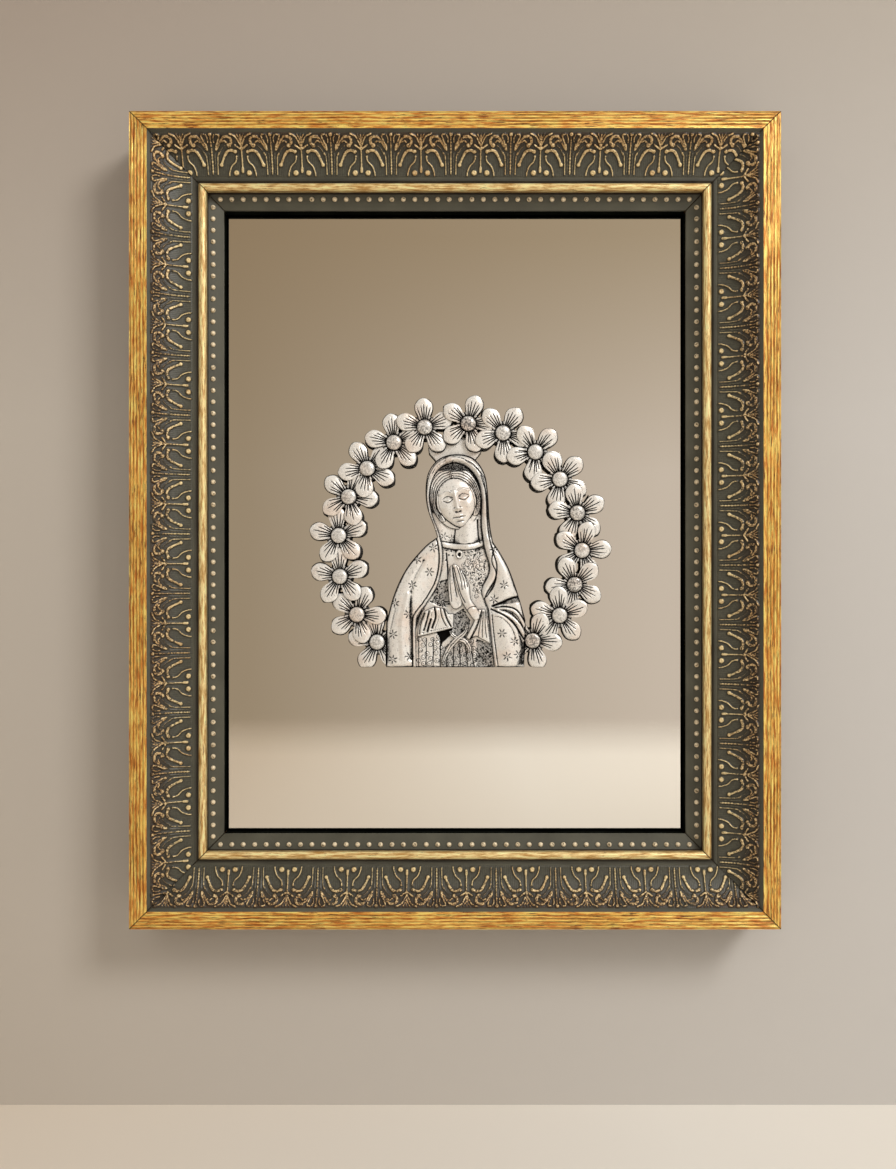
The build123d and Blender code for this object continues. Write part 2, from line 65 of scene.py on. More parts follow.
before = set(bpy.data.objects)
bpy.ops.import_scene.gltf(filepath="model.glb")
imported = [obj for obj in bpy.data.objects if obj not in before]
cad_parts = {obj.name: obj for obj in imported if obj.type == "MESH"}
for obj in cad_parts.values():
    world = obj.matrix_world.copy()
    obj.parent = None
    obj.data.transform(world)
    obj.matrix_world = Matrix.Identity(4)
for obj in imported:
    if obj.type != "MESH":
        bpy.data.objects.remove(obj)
cad_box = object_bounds()

MM = 0.001
BODY = "frame"
HALF_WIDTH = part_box("right_rail")[1].x
HALF_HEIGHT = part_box("top_rail")[1].z
CREST = -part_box("top_rail")[0].y
GLASS = -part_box("mirror_pane")[0].y
PAD_TOP = -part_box("adhesive_pads")[0].y
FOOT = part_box("mantle")[0].z
WALL = cad_box[1].y + 0.2 * MM
STAGE_REACH = 1.6
WELD = 0.0005 * MM
SIDES = ("top", "bottom", "left", "right")


def srgb(red, green, blue):
    """Linear colour from the usual 0 to 255 values."""
    return (*((part / 255) ** 2.2 for part in (red, green, blue)), 1.0)


def darkened(tone, share):
    """A colour with its light scaled by a share."""
    return (*(part * share for part in tone[:3]), 1.0)


def length(name, description, default):
    """A length that a user may change, in metres."""
    return FloatProperty(name=name, description=description, default=default, unit="LENGTH", precision=5)


def colour(name, description, default):
    """A colour that a user may change."""
    return FloatVectorProperty(name=name, description=description, default=default, size=4, subtype="COLOR")


# ---- settings ---------------------------------------------------------------------------------------
class MouldingSettings(bpy.types.PropertyGroup):
    """Section and finish of the four rails."""

    width: length("Width", "Moulding from its outer edge to the sight edge", 40 * MM)
    band_width: length("Band width", "Reeded outer band", 8.3 * MM)
    band_fall: length("Band fall", "How far the band drops towards the outer edge", 1.4 * MM)
    arris: length("Arris", "Small bevel between the band and the cove", 0.8 * MM)
    cove_sag: length("Cove sag", "Depth of the hollow below its chord", 2.2 * MM)
    groove: length("Groove", "Groove between the cove and the bead", 1.0 * MM)
    bead_radius: length("Bead radius", "Half-round inner bead", 1.85 * MM)
    bead_rise: length("Bead rise", "Side wall of the bead above the flat", 4.0 * MM)
    flat_width: length("Flat width", "Sloping flat that holds the pearls", 6.8 * MM)
    flat_fall: length("Flat fall", "How far the flat drops to the sight edge", 2.0 * MM)
    sight_drop: length("Sight drop", "Crest of the moulding above its sight edge", 17.2 * MM)
    edge_round: length("Edge round", "Softened sight edge", 0.5 * MM)
    rabbet: length("Rabbet", "Ledge that holds the glass", 7.2 * MM)
    reed_depth: length("Reed depth", "Combed grooves along the band", 0.3 * MM)
    reed_count: IntProperty(name="Reeds", description="Combed grooves across the band", default=5, min=0)
    gilt: colour("Gilt", "Band where the gold leaf is whole", srgb(255, 205, 104))
    gilt_worn: colour("Worn gilt", "Band where the ground shows through", srgb(206, 128, 52))
    bead_gold: colour("Bead gold", "Leaf on the inner bead", srgb(252, 222, 156))
    ground: colour("Ground", "Dark green-grey paint in the cove and on the flat", srgb(84, 82, 69))


class OrnamentSettings(bpy.types.PropertyGroup):
    """Pressed ornament in the cove, and the row of pearls."""

    period: length("Period", "From one palmette to the next", 27.4 * MM)
    outer_margin: length("Outer margin", "Bare cove between the band and the ornament", 0.8 * MM)
    inner_margin: length("Inner margin", "Bare cove between the ornament and the bead", 1.5 * MM)
    skin: length("Skin", "Thickness of the pressed ground", 0.2 * MM)
    flute: length("Flute", "Depth of the fine flutes in the ground", 0.13 * MM)
    relief: length("Relief", "Height of the raised work", 1.15 * MM)
    grid: length("Grid", "Spacing of the ornament's mesh", 0.298 * MM)
    pearl_radius: length("Pearl radius", "Half-round pearls", 1.15 * MM)
    pearl_pitch: length("Pearl pitch", "From one pearl to the next", 5.34 * MM)
    pearl_inset: length("Pearl inset", "From the bead to the middle of the pearls", 2.1 * MM)
    rubbed_gold: colour("Rubbed gold", "Gold on the tops of the ornament", srgb(228, 202, 148))
    brown_gold: colour("Brown gold", "Darker gold near the outer edge", srgb(180, 130, 74))
    pearl: colour("Pearl", "Champagne paint of the pearls", srgb(240, 221, 186))


class CastingSettings(bpy.types.PropertyGroup):
    """Cast tin wreath and figure."""

    middle: length("Middle", "Middle of the figure's foot from the frame's centre line", 0.4 * MM)
    wreath_shift: length("Wreath shift", "Wreath's centre beside the figure's middle", 2.2 * MM)
    wreath_radius: length("Wreath radius", "Ring through the flowers' middles", 57 * MM)
    foot_rise: length("Foot flower rise", "First flower's middle above the foot line", 12.3 * MM)
    crown_drop: length("Crown drop", "Top of the veil below the ring's top", 14.9 * MM)
    flower_lift: length("Flower lift", "Underside of a flower above the glass", 4.7 * MM)
    shingle: length("Shingle", "Rise from one flower to the next that it laps", 1.3 * MM)
    petal_reach: length("Petal reach", "From a flower's middle to its petals' tips", 14 * MM)
    petal_half_width: length("Petal half width", "Half of a petal's widest part", 4.25 * MM)
    plate: length("Plate", "Thickness of a flower's petals", 1.1 * MM)
    boss_radius: length("Boss radius", "Domed middle of a flower", 3.6 * MM)
    boss_height: length("Boss height", "Dome above the petals", 1.4 * MM)
    petals: IntProperty(name="Petals", description="Petals of a flower", default=5, min=3)
    silver: colour("Silver", "Rubbed high parts of the casting", srgb(252, 249, 243))
    patina: colour("Patina", "Blackened hollows", srgb(17, 15, 14))


class StageSettings(bpy.types.PropertyGroup):
    """Camera, lamps, wall and floor."""

    camera_x: length("Camera X", "Camera beside the frame's middle", -3.2 * MM)
    camera_z: length("Camera Z", "Camera below the frame's middle", -29.2 * MM)
    distance: length("Distance", "Camera from the front of the moulding", 500 * MM)
    lens: FloatProperty(name="Lens", description="Focal length in millimetres", default=34.02)
    floor_z: length("Floor", "Height of the floor", -281 * MM)
    floor_depth: length("Floor depth", "How far the floor runs from the wall", 1550 * MM)
    wall_colour: colour("Wall colour", "Painted wall", srgb(199, 194, 188))
    floor_colour: colour("Floor colour", "Pale floor", srgb(232, 225, 214))


# ---- meshes -----------------------------------------------------------------------------------------
def show(name, data):
    """An object with this data, put in the scene."""
    item = bpy.data.objects.new(name, data)
    bpy.context.scene.collection.objects.link(item)
    return item


def new_mesh(name, points, faces, **values):
    """A mesh from points and faces, with named numbers at its points for its finish to read."""
    mesh = bpy.data.meshes.new(name)
    places = np.asarray(points, float).reshape(-1, 3).tolist()
    mesh.from_pydata(places, [], [list(map(int, face)) for face in faces])
    for key, numbers in values.items():
        numbers = np.asarray(numbers, np.float32).ravel()
        mesh.attributes.new(key, "FLOAT", "POINT").data.foreach_set("value", numbers)
    return mesh


def settle(name, mesh, replaced, finish=None, crease=None):
    """Put a finished mesh in the scene as a piece of the frame, and hide the CAD nodes that it stands for."""
    mesh.name = name
    if finish:
        mesh.materials.append(finish)
    mesh.shade_smooth()
    if crease:
        mesh.set_sharp_from_angle(angle=math.radians(crease))
    piece = show(name, mesh)
    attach(piece, BODY)
    if replaced:
        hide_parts(*replaced)


@contextmanager
def reworked(mesh):
    """The mesh opened for editing, and written back afterwards."""
    work = bmesh.new()
    work.from_mesh(mesh)
    yield work
    work.to_mesh(mesh)
    work.free()
    mesh.update()


def merge_points(mesh):
    """Join points that lie on each other, such as those of a pole, and drop the faces that vanish."""
    with reworked(mesh) as work:
        bmesh.ops.remove_doubles(work, verts=work.verts, dist=WELD)


def grid_faces(rows, columns, closed=False):
    """Quads of a grid stored row by row; a closed grid joins its last column to its first."""
    start = np.arange(rows - 1)[:, None] * columns
    column = np.arange(columns if closed else columns - 1)[None, :]
    after = (column + 1) % columns
    corners = (start + column, start + after, start + columns + after, start + columns + column)
    return np.stack(corners, -1).reshape(-1, 4)


def full_turn(count):
    """Angles spaced evenly about a full turn."""
    return np.linspace(0, math.tau, count, endpoint=False)


def on_circle(angles):
    """Unit directions of angles."""
    return np.stack([np.cos(angles), np.sin(angles)], -1)


def smooth_line(points, steps=6, closed=False):
    """A smooth line through the points."""
    points = np.asarray(points, float)
    if len(points) < 3:
        return points
    if closed:
        padded = np.vstack([points[-1:], points, points[:2]])
    else:
        padded = np.vstack([2 * points[0] - points[1], points, 2 * points[-1] - points[-2]])
    t = np.linspace(0, 1, steps, endpoint=False)[:, None]
    pieces = []
    for a, b, c, d in zip(padded, padded[1:], padded[2:], padded[3:]):
        square = (2 * a - 5 * b + 4 * c - d) * t**2
        cube = (3 * b - a - 3 * c + d) * t**3
        pieces.append(0.5 * (2 * b + (c - a) * t + square + cube))
    if not closed:
        pieces.append(points[-1:])
    return np.vstack(pieces)


def distance_to(points, path):
    """Distance of each point from a line of straight runs."""
    best = np.full(len(points), np.inf)
    for a, b in zip(path, path[1:]):
        run = b - a
        share = np.clip((points - a) @ run / max(run @ run, 1e-18), 0, 1)
        gap = points - a - share[:, None] * run
        best = np.minimum(best, np.hypot(gap[:, 0], gap[:, 1]))
    return best


def inside(points, loop):
    """Which points lie inside a closed outline."""
    x, z = points.T
    result = np.zeros(len(points), bool)
    for (x0, z0), (x1, z1) in zip(loop, np.roll(loop, -1, 0)):
        if z0 == z1:
            continue
        result ^= ((z0 > z) != (z1 > z)) & (x < (x1 - x0) * (z - z0) / (z1 - z0) + x0)
    return result


def resample(loop, step):
    """The same closed outline with no run longer than the step."""
    points = []
    for a, b in zip(loop, np.roll(loop, -1, 0)):
        count = max(1, math.ceil(np.hypot(*(b - a)) / step))
        points.append(a + (b - a) * np.linspace(0, 1, count, endpoint=False)[:, None])
    return np.vstack(points)


def smoothstep(values, low, high):
    """Soft step from 0 at low to 1 at high."""
    share = np.clip((values - low) / (high - low), 0, 1)
    return share * share * (3 - 2 * share)


def round_top(distance, half_width):
    """Half-round section: 1 on the middle line and 0 from the half width outwards."""
    return np.sqrt(np.clip(1 - (distance / half_width) ** 2, 0, 1))


# ---- geometry node trees ----------------------------------------------------------------------------
def add_node(tree, kind, sockets, settings):
    """Add a node to a tree, set it up, and feed its sockets with values or with other nodes' outputs."""
    node = tree.nodes.new(kind)
    for key, value in settings.items():
        setattr(node, key, value)
    for key, value in (sockets or {}).items():
        if isinstance(value, bpy.types.NodeSocket):
            tree.links.new(value, node.inputs[key])
        else:
            node.inputs[key].default_value = value
    return node.outputs


class Tree:
    """A geometry node tree with named inputs, built from short calls."""

    def __init__(self, name, **inputs):
        self.tree = bpy.data.node_groups.new(name, "GeometryNodeTree")
        interface = self.tree.interface
        interface.new_socket("Geometry", in_out="INPUT", socket_type="NodeSocketGeometry")
        interface.new_socket("Geometry", in_out="OUTPUT", socket_type="NodeSocketGeometry")
        self.identifiers = {}
        for key, kind in inputs.items():
            socket = interface.new_socket(key, in_out="INPUT", socket_type="NodeSocket" + kind)
            self.identifiers[key] = socket.identifier
        self.given = self.tree.nodes.new("NodeGroupInput").outputs

    def node(self, kind, sockets=None, **settings):
        """Add a node and return its outputs."""
        return add_node(self.tree, kind, sockets, settings)

    def copies(self, **sockets):
        """Copies of a mesh on points."""
        return self.node("GeometryNodeInstanceOnPoints", sockets)[0]

    def finish(self, geometry):
        """End the tree with real geometry in the given finish."""
        real = self.node("GeometryNodeRealizeInstances", {"Geometry": geometry})[0]
        sockets = {"Geometry": real, "Material": self.given["Finish"]}
        self.node("NodeGroupOutput", {"Geometry": self.node("GeometryNodeSetMaterial", sockets)[0]})

    def grow(self, mesh, **values):
        """Run the tree on a mesh with these inputs and return plain geometry."""
        carrier = show("carrier", mesh)
        modifier = carrier.modifiers.new("tree", "NODES")
        modifier.node_group = self.tree
        for key, value in values.items():
            modifier[self.identifiers[key]] = value
        bpy.context.view_layer.update()
        grown = carrier.evaluated_get(bpy.context.evaluated_depsgraph_get())
        plain = bpy.data.meshes.new_from_object(grown)
        carrier.modifiers.clear()
        bpy.data.objects.remove(carrier)
        return plain


def row_tree():
    """Copies of a mesh in a straight row along X."""
    tree = Tree("row", First="Float", Pitch="Float", Count="Int", Finish="Material")
    start = tree.node("ShaderNodeCombineXYZ", {"X": tree.given["First"]})[0]
    step = tree.node("ShaderNodeCombineXYZ", {"X": tree.given["Pitch"]})[0]
    sockets = {"Count": tree.given["Count"], "Start Location": start, "Offset": step}
    line = tree.node("GeometryNodeMeshLine", sockets)[0]
    tree.finish(tree.copies(Points=line, Instance=tree.given["Geometry"]))
    return tree


def scatter_tree():
    """Copies of another object on a mesh's points, each turned to face the point's own direction."""
    tree = Tree("scatter", Blank="Object", Seed="Int", Finish="Material")
    seed = {"Seed": tree.given["Seed"]}
    blank = tree.node("GeometryNodeObjectInfo", {"Object": tree.given["Blank"]})["Geometry"]
    facing = tree.node("GeometryNodeInputNamedAttribute", {"Name": "facing"}, data_type="FLOAT_VECTOR")[0]
    turn = tree.node("FunctionNodeAlignRotationToVector", {"Vector": facing}, axis="Z")[0]
    spin = tree.node("FunctionNodeRandomValue", {"Max": math.tau, **seed}, data_type="FLOAT")[1]
    about = tree.node("FunctionNodeAxisAngleToRotation", {"Axis": (0, 0, 1), "Angle": spin})[0]
    both = {"Rotation": turn, "Rotate By": about}
    spun = tree.node("FunctionNodeRotateRotation", both, rotation_space="LOCAL")[0]
    copies = tree.copies(Points=tree.given["Geometry"], Instance=blank, Rotation=spun)
    shade = tree.node("FunctionNodeRandomValue", seed, data_type="FLOAT")[1]
    sockets = {"Geometry": copies, "Name": "shade", "Value": shade}
    stored = tree.node("GeometryNodeStoreNamedAttribute", sockets, domain="INSTANCE", data_type="FLOAT")
    tree.finish(stored[0])
    return tree


# ---- finishes ---------------------------------------------------------------------------------------
class Finish:
    """A node material, built from short calls that return sockets."""

    def __init__(self, owner):
        owner.use_nodes = True
        self.owner = owner
        self.tree = owner.node_tree
        self.tree.nodes.clear()

    @classmethod
    def named(cls, name):
        """A new, empty material."""
        return cls(bpy.data.materials.new(name))

    def node(self, kind, sockets=None, **settings):
        """Add a shader node and return its outputs."""
        return add_node(self.tree, "ShaderNode" + kind, sockets, settings)

    def place(self):
        """The point's place on the object."""
        return self.node("TexCoord")["Object"]

    def parts(self, vector):
        """The three parts of a vector."""
        return self.node("SeparateXYZ", {0: vector})

    def value(self, name):
        """A number that the mesh carries at its points."""
        return self.node("Attribute", attribute_name=name)["Fac"]

    def noise(self, vector, scale, detail=3.0, rough=0.55):
        """Cloudy noise; a scale of three numbers stretches it."""
        if np.ndim(scale):
            vector = self.node("Mapping", {"Vector": vector, "Scale": scale})[0]
            scale = 1.0
        sockets = {"Vector": vector, "Scale": scale, "Detail": detail, "Roughness": rough}
        return self.node("TexNoise", sockets)["Fac"]

    def math(self, operation, first, second=0.0):
        """Arithmetic on one number or two."""
        return self.node("Math", {0: first, 1: second}, operation=operation)[0]

    def times(self, first, second):
        """Product of two numbers."""
        return self.math("MULTIPLY", first, second)

    def between(self, value, low, high, start=0.0, end=1.0):
        """Rescale a number, without going past either end."""
        sockets = {"Value": value, "From Min": low, "From Max": high, "To Min": start, "To Max": end}
        return self.node("MapRange", sockets)[0]

    def mix(self, share, first, second):
        """Blend two colours."""
        return self.node("Mix", {0: share, 6: first, 7: second}, data_type="RGBA")[2]

    def over(self, tone, colour, value, low, high, most=1.0):
        """Lay a colour over a tone as a value goes from low to high, and no thicker than most."""
        return self.mix(self.between(value, low, high, 0.0, most), tone, colour)

    def bump(self, height, distance, strength=1.0):
        """Small relief from a height."""
        return self.node("Bump", {"Height": height, "Distance": distance, "Strength": strength})[0]

    def mitre(self, tone):
        """Darken a tone on the thin joint line of the four mitres."""
        parts = self.parts(self.place())
        skew = self.math("SUBTRACT", self.math("ABSOLUTE", parts["X"]), self.math("ABSOLUTE", parts["Z"]))
        off = self.math("ABSOLUTE", self.math("SUBTRACT", skew, HALF_WIDTH - HALF_HEIGHT))
        return self.over(tone, srgb(34, 24, 15), off, 0.36 * MM, 0.2 * MM, 0.9)

    def surface(self, **sockets):
        """Principled surface from these sockets; the material is ready after this."""
        sockets = {key.replace("_", " "): value for key, value in sockets.items()}
        self.node("OutputMaterial", {"Surface": self.node("BsdfPrincipled", sockets)[0]})
        return self.owner


def gilt_finish(name, whole, worn, wear):
    """Gold leaf with streaks along the rail, red-brown flecks where it has worn and painted shade in its
    hollows.
    """
    finish = Finish.named(name)
    place = finish.node("CombineXYZ", {"X": finish.value("along"), "Y": finish.value("across")})[0]
    streaks = finish.noise(place, (105, 1000, 1), 5.0, 0.68)
    patches = finish.noise(place, (22, 150, 1), 3.0)
    flecks = finish.noise(place, (120, 2100, 1), 4.0, 0.7)
    pale = (*(min(1.0, c * 1.2 + 0.05) for c in whole[:3]), 1.0)
    gold = finish.over(whole, worn, streaks, 0.53, 0.41)
    gold = finish.over(gold, pale, streaks, 0.52, 0.6)
    gold = finish.over(gold, worn, patches, 0.5, 0.7, 0.25)
    # Painted shade where the rail marks hollows, broken up by the flecks.
    hollow = finish.times(finish.value("hollow"), finish.between(flecks, 0.3, 0.6, 1.0, 0.5))
    fleck = finish.between(flecks, 0.62 - wear, 0.68 - wear, 0.0, 0.95)
    fleck = finish.times(fleck, finish.between(patches, 0.35, 0.55, 0.35, 1.0))
    gold = finish.over(gold, srgb(92, 50, 21), fleck, 0.1, 0.7)
    gold = finish.over(gold, srgb(84, 46, 19), hollow, 0.12, 0.8, 0.85)
    grain = finish.bump(streaks, 0.2 * MM, 0.9)
    rough = finish.between(streaks, 0.3, 0.7, 0.46, 0.3)
    return finish.surface(Base_Color=finish.mitre(gold), Metallic=0.35, Roughness=rough, Normal=grain)


def paint_finish(name, tone, deep, gloss=0.5):
    """Dark hand-rubbed paint with a faint bloom, and painted shade where the rail marks hollows."""
    finish = Finish.named(name)
    place = finish.place()
    cloud = finish.noise(place, 60.0, 4.0)
    shade = finish.over(deep, tone, cloud, 0.35, 0.65)
    # Painted shade: darker where the rail marks hollows.
    shade = finish.mix(finish.value("hollow"), shade, srgb(28, 24, 18))
    grain = finish.bump(finish.noise(place, 900.0, 2.0), 0.05 * MM, 0.6)
    rough = finish.between(cloud, 0.3, 0.7, 0.44, 0.6)
    tone = finish.mitre(shade)
    return finish.surface(Base_Color=tone, Roughness=rough, Normal=grain, Specular_IOR_Level=gloss)


def ornament_finish(settings, ground):
    """Dark paint with gold rubbed over the raised work, browner and duller towards the outer edge, with
    painted light: a brighter top rail, pale highlights and shade beside the work.
    """
    finish = Finish.named("rubbed_ornament")
    place = finish.place()
    raised = finish.value("raised")
    outer = finish.value("outer")
    worn = finish.noise(place, 1100.0, 4.0, 0.7)
    cloud = finish.noise(place, 60.0, 2.0)
    height = finish.parts(place)["Z"]
    # Painted light: on the top rail the gold is brighter, less brown and covers more of the work.
    top = finish.between(height, HALF_HEIGHT - 40 * MM, HALF_HEIGHT - 34 * MM)
    wear_and_shade = finish.times(finish.between(outer, 0.3, 0.7), finish.between(top, 0.0, 1.0, 1.0, 0.5))
    browner = finish.times(finish.between(outer, 0.4, 0.75), finish.between(top, 0.0, 1.0, 0.9, 0.7))
    gold = finish.mix(browner, settings.rubbed_gold, settings.brown_gold)
    gold = finish.over(gold, settings.brown_gold, cloud, 0.5, 0.68, 0.6)
    # Painted highlights: pale gold on the highest raised work.
    pale = finish.times(finish.between(worn, 0.48, 0.57), finish.between(raised, 0.55, 0.85))
    gold = finish.mix(finish.times(pale, 0.85), gold, srgb(244, 222, 172))
    left = finish.between(worn, 0.4, 0.56, finish.between(wear_and_shade, 0.0, 1.0, 0.62, 0.05), 1.0)
    touched = finish.times(finish.times(raised, left), finish.between(top, 0.0, 1.0, 1.0, 1.15))
    paint = finish.over(darkened(ground, 0.6), ground, worn, 0.35, 0.65)
    umber = finish.times(finish.between(outer, 0.4, 0.9, 0.0, 0.75), finish.between(cloud, 0.3, 0.55))
    paint = finish.mix(umber, paint, srgb(66, 47, 30))
    # Painted shade beside the raised work.
    paint = finish.mix(finish.value("hollow"), paint, srgb(20, 16, 11))
    tone = finish.over(paint, gold, touched, 0.3, 0.62)
    metal = finish.between(touched, 0.2, 0.6, 0.0, 0.3)
    grain = finish.bump(worn, 0.1 * MM, 0.8)
    return finish.surface(Base_Color=finish.mitre(tone), Metallic=metal, Roughness=0.42, Normal=grain)


def pearl_finish(settings):
    """Champagne paint with a dark speck on the crown, where the paint has rubbed through, and painted shade
    round its foot.
    """
    finish = Finish.named("pearl_paint")
    fine = finish.noise(finish.place(), 800.0)
    tone = finish.over(settings.pearl, srgb(184, 156, 110), fine, 0.45, 0.72, 0.4)
    speck = finish.times(finish.value("crown"), finish.between(fine, 0.5, 0.64))
    tone = finish.mix(speck, tone, srgb(98, 80, 50))
    # Painted shade round the pearl's foot.
    tone = finish.mix(finish.value("hollow"), tone, srgb(46, 38, 26))
    return finish.surface(Base_Color=tone, Metallic=0.15, Roughness=0.32)


def wood_finish(name, light, dark, axis):
    """Bare planed wood with its grain along one axis."""
    finish = Finish.named(name)
    squeeze = np.full(3, 900.0)
    squeeze[axis] = 14.0
    grain = finish.noise(finish.place(), squeeze * 0.5, 4.0, 0.6)
    bands = finish.noise(finish.place(), squeeze * 0.108, 2.0)
    tone = finish.over(light, dark, grain, 0.35, 0.65)
    tone = finish.over(tone, dark, bands, 0.45, 0.7, 0.4)
    return finish.surface(Base_Color=tone, Roughness=0.72, Normal=finish.bump(grain, 0.1 * MM, 0.5))


def mirror_finish(moulding):
    """Silvered glass, seen as its front surface, with a dark edge: tarnish, and painted shade for the lip's
    shadow and dark reflection.
    """
    finish = Finish.named("silvered_glass")
    parts = finish.parts(finish.place())
    beside = finish.math("SUBTRACT", finish.math("ABSOLUTE", parts["X"]), HALF_WIDTH - moulding.width)
    above = finish.math("SUBTRACT", finish.math("ABSOLUTE", parts["Z"]), HALF_HEIGHT - moulding.width)
    edge = finish.math("MAXIMUM", beside, above)
    # Painted shade: the glass darkens within about a millimetre of the sight edge, as tarnish and as the
    # lip's shadow.
    tone = finish.over(srgb(243, 240, 234), srgb(24, 21, 16), edge, -1.15 * MM, -0.9 * MM)
    rough = finish.between(finish.noise(finish.place(), 6.0, 2.0), 0.4, 0.7, 0.03, 0.05)
    return finish.surface(Base_Color=tone, Metallic=1.0, Roughness=rough)


def tin_finish(settings, name, mottling=0.0):
    """Rubbed antique tin: pale high parts, black patina and painted shade in the hollows and mottled grime
    between.
    """
    finish = Finish.named(name)
    place = finish.place()
    cloud = finish.noise(place, 75.0)
    fine = finish.noise(place, 1400.0)
    specks = finish.noise(place, 2300.0, 2.0)
    grime = finish.noise(place, (900, 900, 420), 4.0, 0.65)
    tone = finish.over(settings.silver, srgb(242, 223, 207), cloud, 0.48, 0.66, 0.7)
    tone = finish.over(tone, srgb(176, 168, 158), fine, 0.52, 0.78, 0.4)
    if mottling:
        shade = finish.between(finish.value("shade"), 0.0, 1.0, 0.25, mottling)
        mottled = finish.times(shade, finish.between(fine, 0.44, 0.56, 0.12, 1.0))
        tone = finish.mix(mottled, tone, srgb(74, 73, 73))
    patina = finish.math("ADD", finish.value("patina"), finish.between(specks, 0.35, 0.65, -0.16, 0.16))
    patina = finish.math("ADD", patina, finish.between(grime, 0.54, 0.74, 0.0, 0.36))
    # The patina value also carries painted shade.
    tone = finish.over(tone, settings.patina, patina, 0.08, 0.66)
    rough = finish.between(fine, 0.3, 0.7, 0.27, 0.4)
    rough = finish.math("ADD", rough, finish.between(patina, 0.3, 0.9, 0.0, 0.3))
    metal = finish.between(patina, 0.1, 0.7, 0.4, 0.0)
    gloss = finish.between(patina, 0.2, 0.8, 0.5, 0.08)
    grain = finish.bump(fine, 0.06 * MM, 0.7)
    sheen = {"Metallic": metal, "Roughness": rough, "Specular_IOR_Level": gloss}
    return finish.surface(Base_Color=tone, Normal=grain, **sheen)


def plain_metal(name, bright, dull, rough):
    """Plated sheet or wire with faint spangle and handling marks."""
    finish = Finish.named(name)
    place = finish.place()
    spangle = finish.node("TexVoronoi", {"Vector": place, "Scale": 500.0})["Distance"]
    cloud = finish.noise(place, 240.0)
    tone = finish.over(bright, dull, cloud, 0.35, 0.7)
    tone = finish.over(tone, dull, spangle, 0.0, 0.6, 0.25)
    rough = finish.between(cloud, 0.3, 0.7, rough, rough + 0.15)
    return finish.surface(Base_Color=tone, Metallic=0.9, Roughness=rough)


def soft_finish(name, tone, speck, scale, rough):
    """Board, rubber or foam with a fine broken surface."""
    finish = Finish.named(name)
    place = finish.place()
    fine = finish.noise(place, scale, 4.0, 0.7)
    mixed = finish.over(tone, speck, fine, 0.4, 0.65)
    mixed = finish.over(mixed, speck, finish.noise(place, 30.0, 2.0), 0.4, 0.7, 0.3)
    return finish.surface(Base_Color=mixed, Roughness=rough, Normal=finish.bump(fine, 0.12 * MM, 0.8))


# ---- rails ------------------------------------------------------------------------------------------
SIDE_PAINT, GILT, PAINT, SHADOW, BEAD, LIP, BARE = range(7)


def lay(side, along, inset, height):
    """World points from the distance along a rail, the inset from its outer edge and the height."""
    if side in ("top", "bottom"):
        sign = 1 if side == "top" else -1
        return np.stack([along, -height, sign * (HALF_HEIGHT - inset)], -1)
    sign = 1 if side == "right" else -1
    return np.stack([sign * (HALF_WIDTH - inset), -height, along], -1)


def half_length(side):
    """Half of a rail's outer length."""
    return HALF_WIDTH if side in ("top", "bottom") else HALF_HEIGHT


def faces_outward(side):
    """Whether a grid of along by inset faces the viewer on this side as it is, or has to be turned over."""
    return side in ("bottom", "right")


class Section:
    """Levels and insets of the moulding's section, worked out from the settings."""

    def __init__(self, moulding):
        self.sight = CREST - moulding.sight_drop
        self.flat = self.sight + moulding.flat_fall
        self.bead = self.flat + moulding.bead_rise
        self.bead_inset = moulding.width - moulding.flat_width - 2 * moulding.bead_radius
        self.flat_inset = self.bead_inset + 2 * moulding.bead_radius
        self.flat_start = np.array([self.flat_inset, self.flat])
        fall = np.array([moulding.width - moulding.edge_round, self.sight]) - self.flat_start
        self.flat_slope = fall / np.hypot(*fall)
        self.cove_start = np.array([moulding.band_width + moulding.arris, CREST - moulding.arris])
        self.cove_end = np.array([self.bead_inset - moulding.groove, self.bead + moulding.arris / 2])
        chord = self.cove_end - self.cove_start
        span = np.hypot(*chord)
        self.radius = (span**2 / 4 + moulding.cove_sag**2) / (2 * moulding.cove_sag)
        normal = np.array([-chord[1], chord[0]]) / span
        middle = (self.cove_start + self.cove_end) / 2
        self.centre = middle + normal * (self.radius - moulding.cove_sag)
        self.half_angle = math.asin(span / 2 / self.radius)
        self.mid_angle = math.atan2(-normal[1], -normal[0])

    def cove_point(self, share, above=0.0):
        """Point of the cove from its outer edge at -1 to its inner edge at 1, raised above it."""
        angle = self.mid_angle + share * self.half_angle
        return self.centre + on_circle(angle) * np.expand_dims(self.radius - above, -1)

    def flat_point(self, distance, above=0.0):
        """Point of the sloping flat at a distance from the bead, raised above it."""
        upwards = np.array([-self.flat_slope[1], self.flat_slope[0]])
        place = self.flat_start + np.multiply.outer(distance, self.flat_slope)
        return place + np.multiply.outer(above, upwards)


def band_reeds(share, moulding):
    """How deep the combed grooves cut at this share of the band's width, as 0 to 1."""
    first, spread, half_width = 0.07, 0.74, 0.055
    cut = np.zeros_like(share)
    for reed in range(moulding.reed_count):
        middle = first + reed * spread / max(1, moulding.reed_count - 1)
        cut = np.maximum(cut, round_top(np.abs(share - middle), half_width))
    return cut


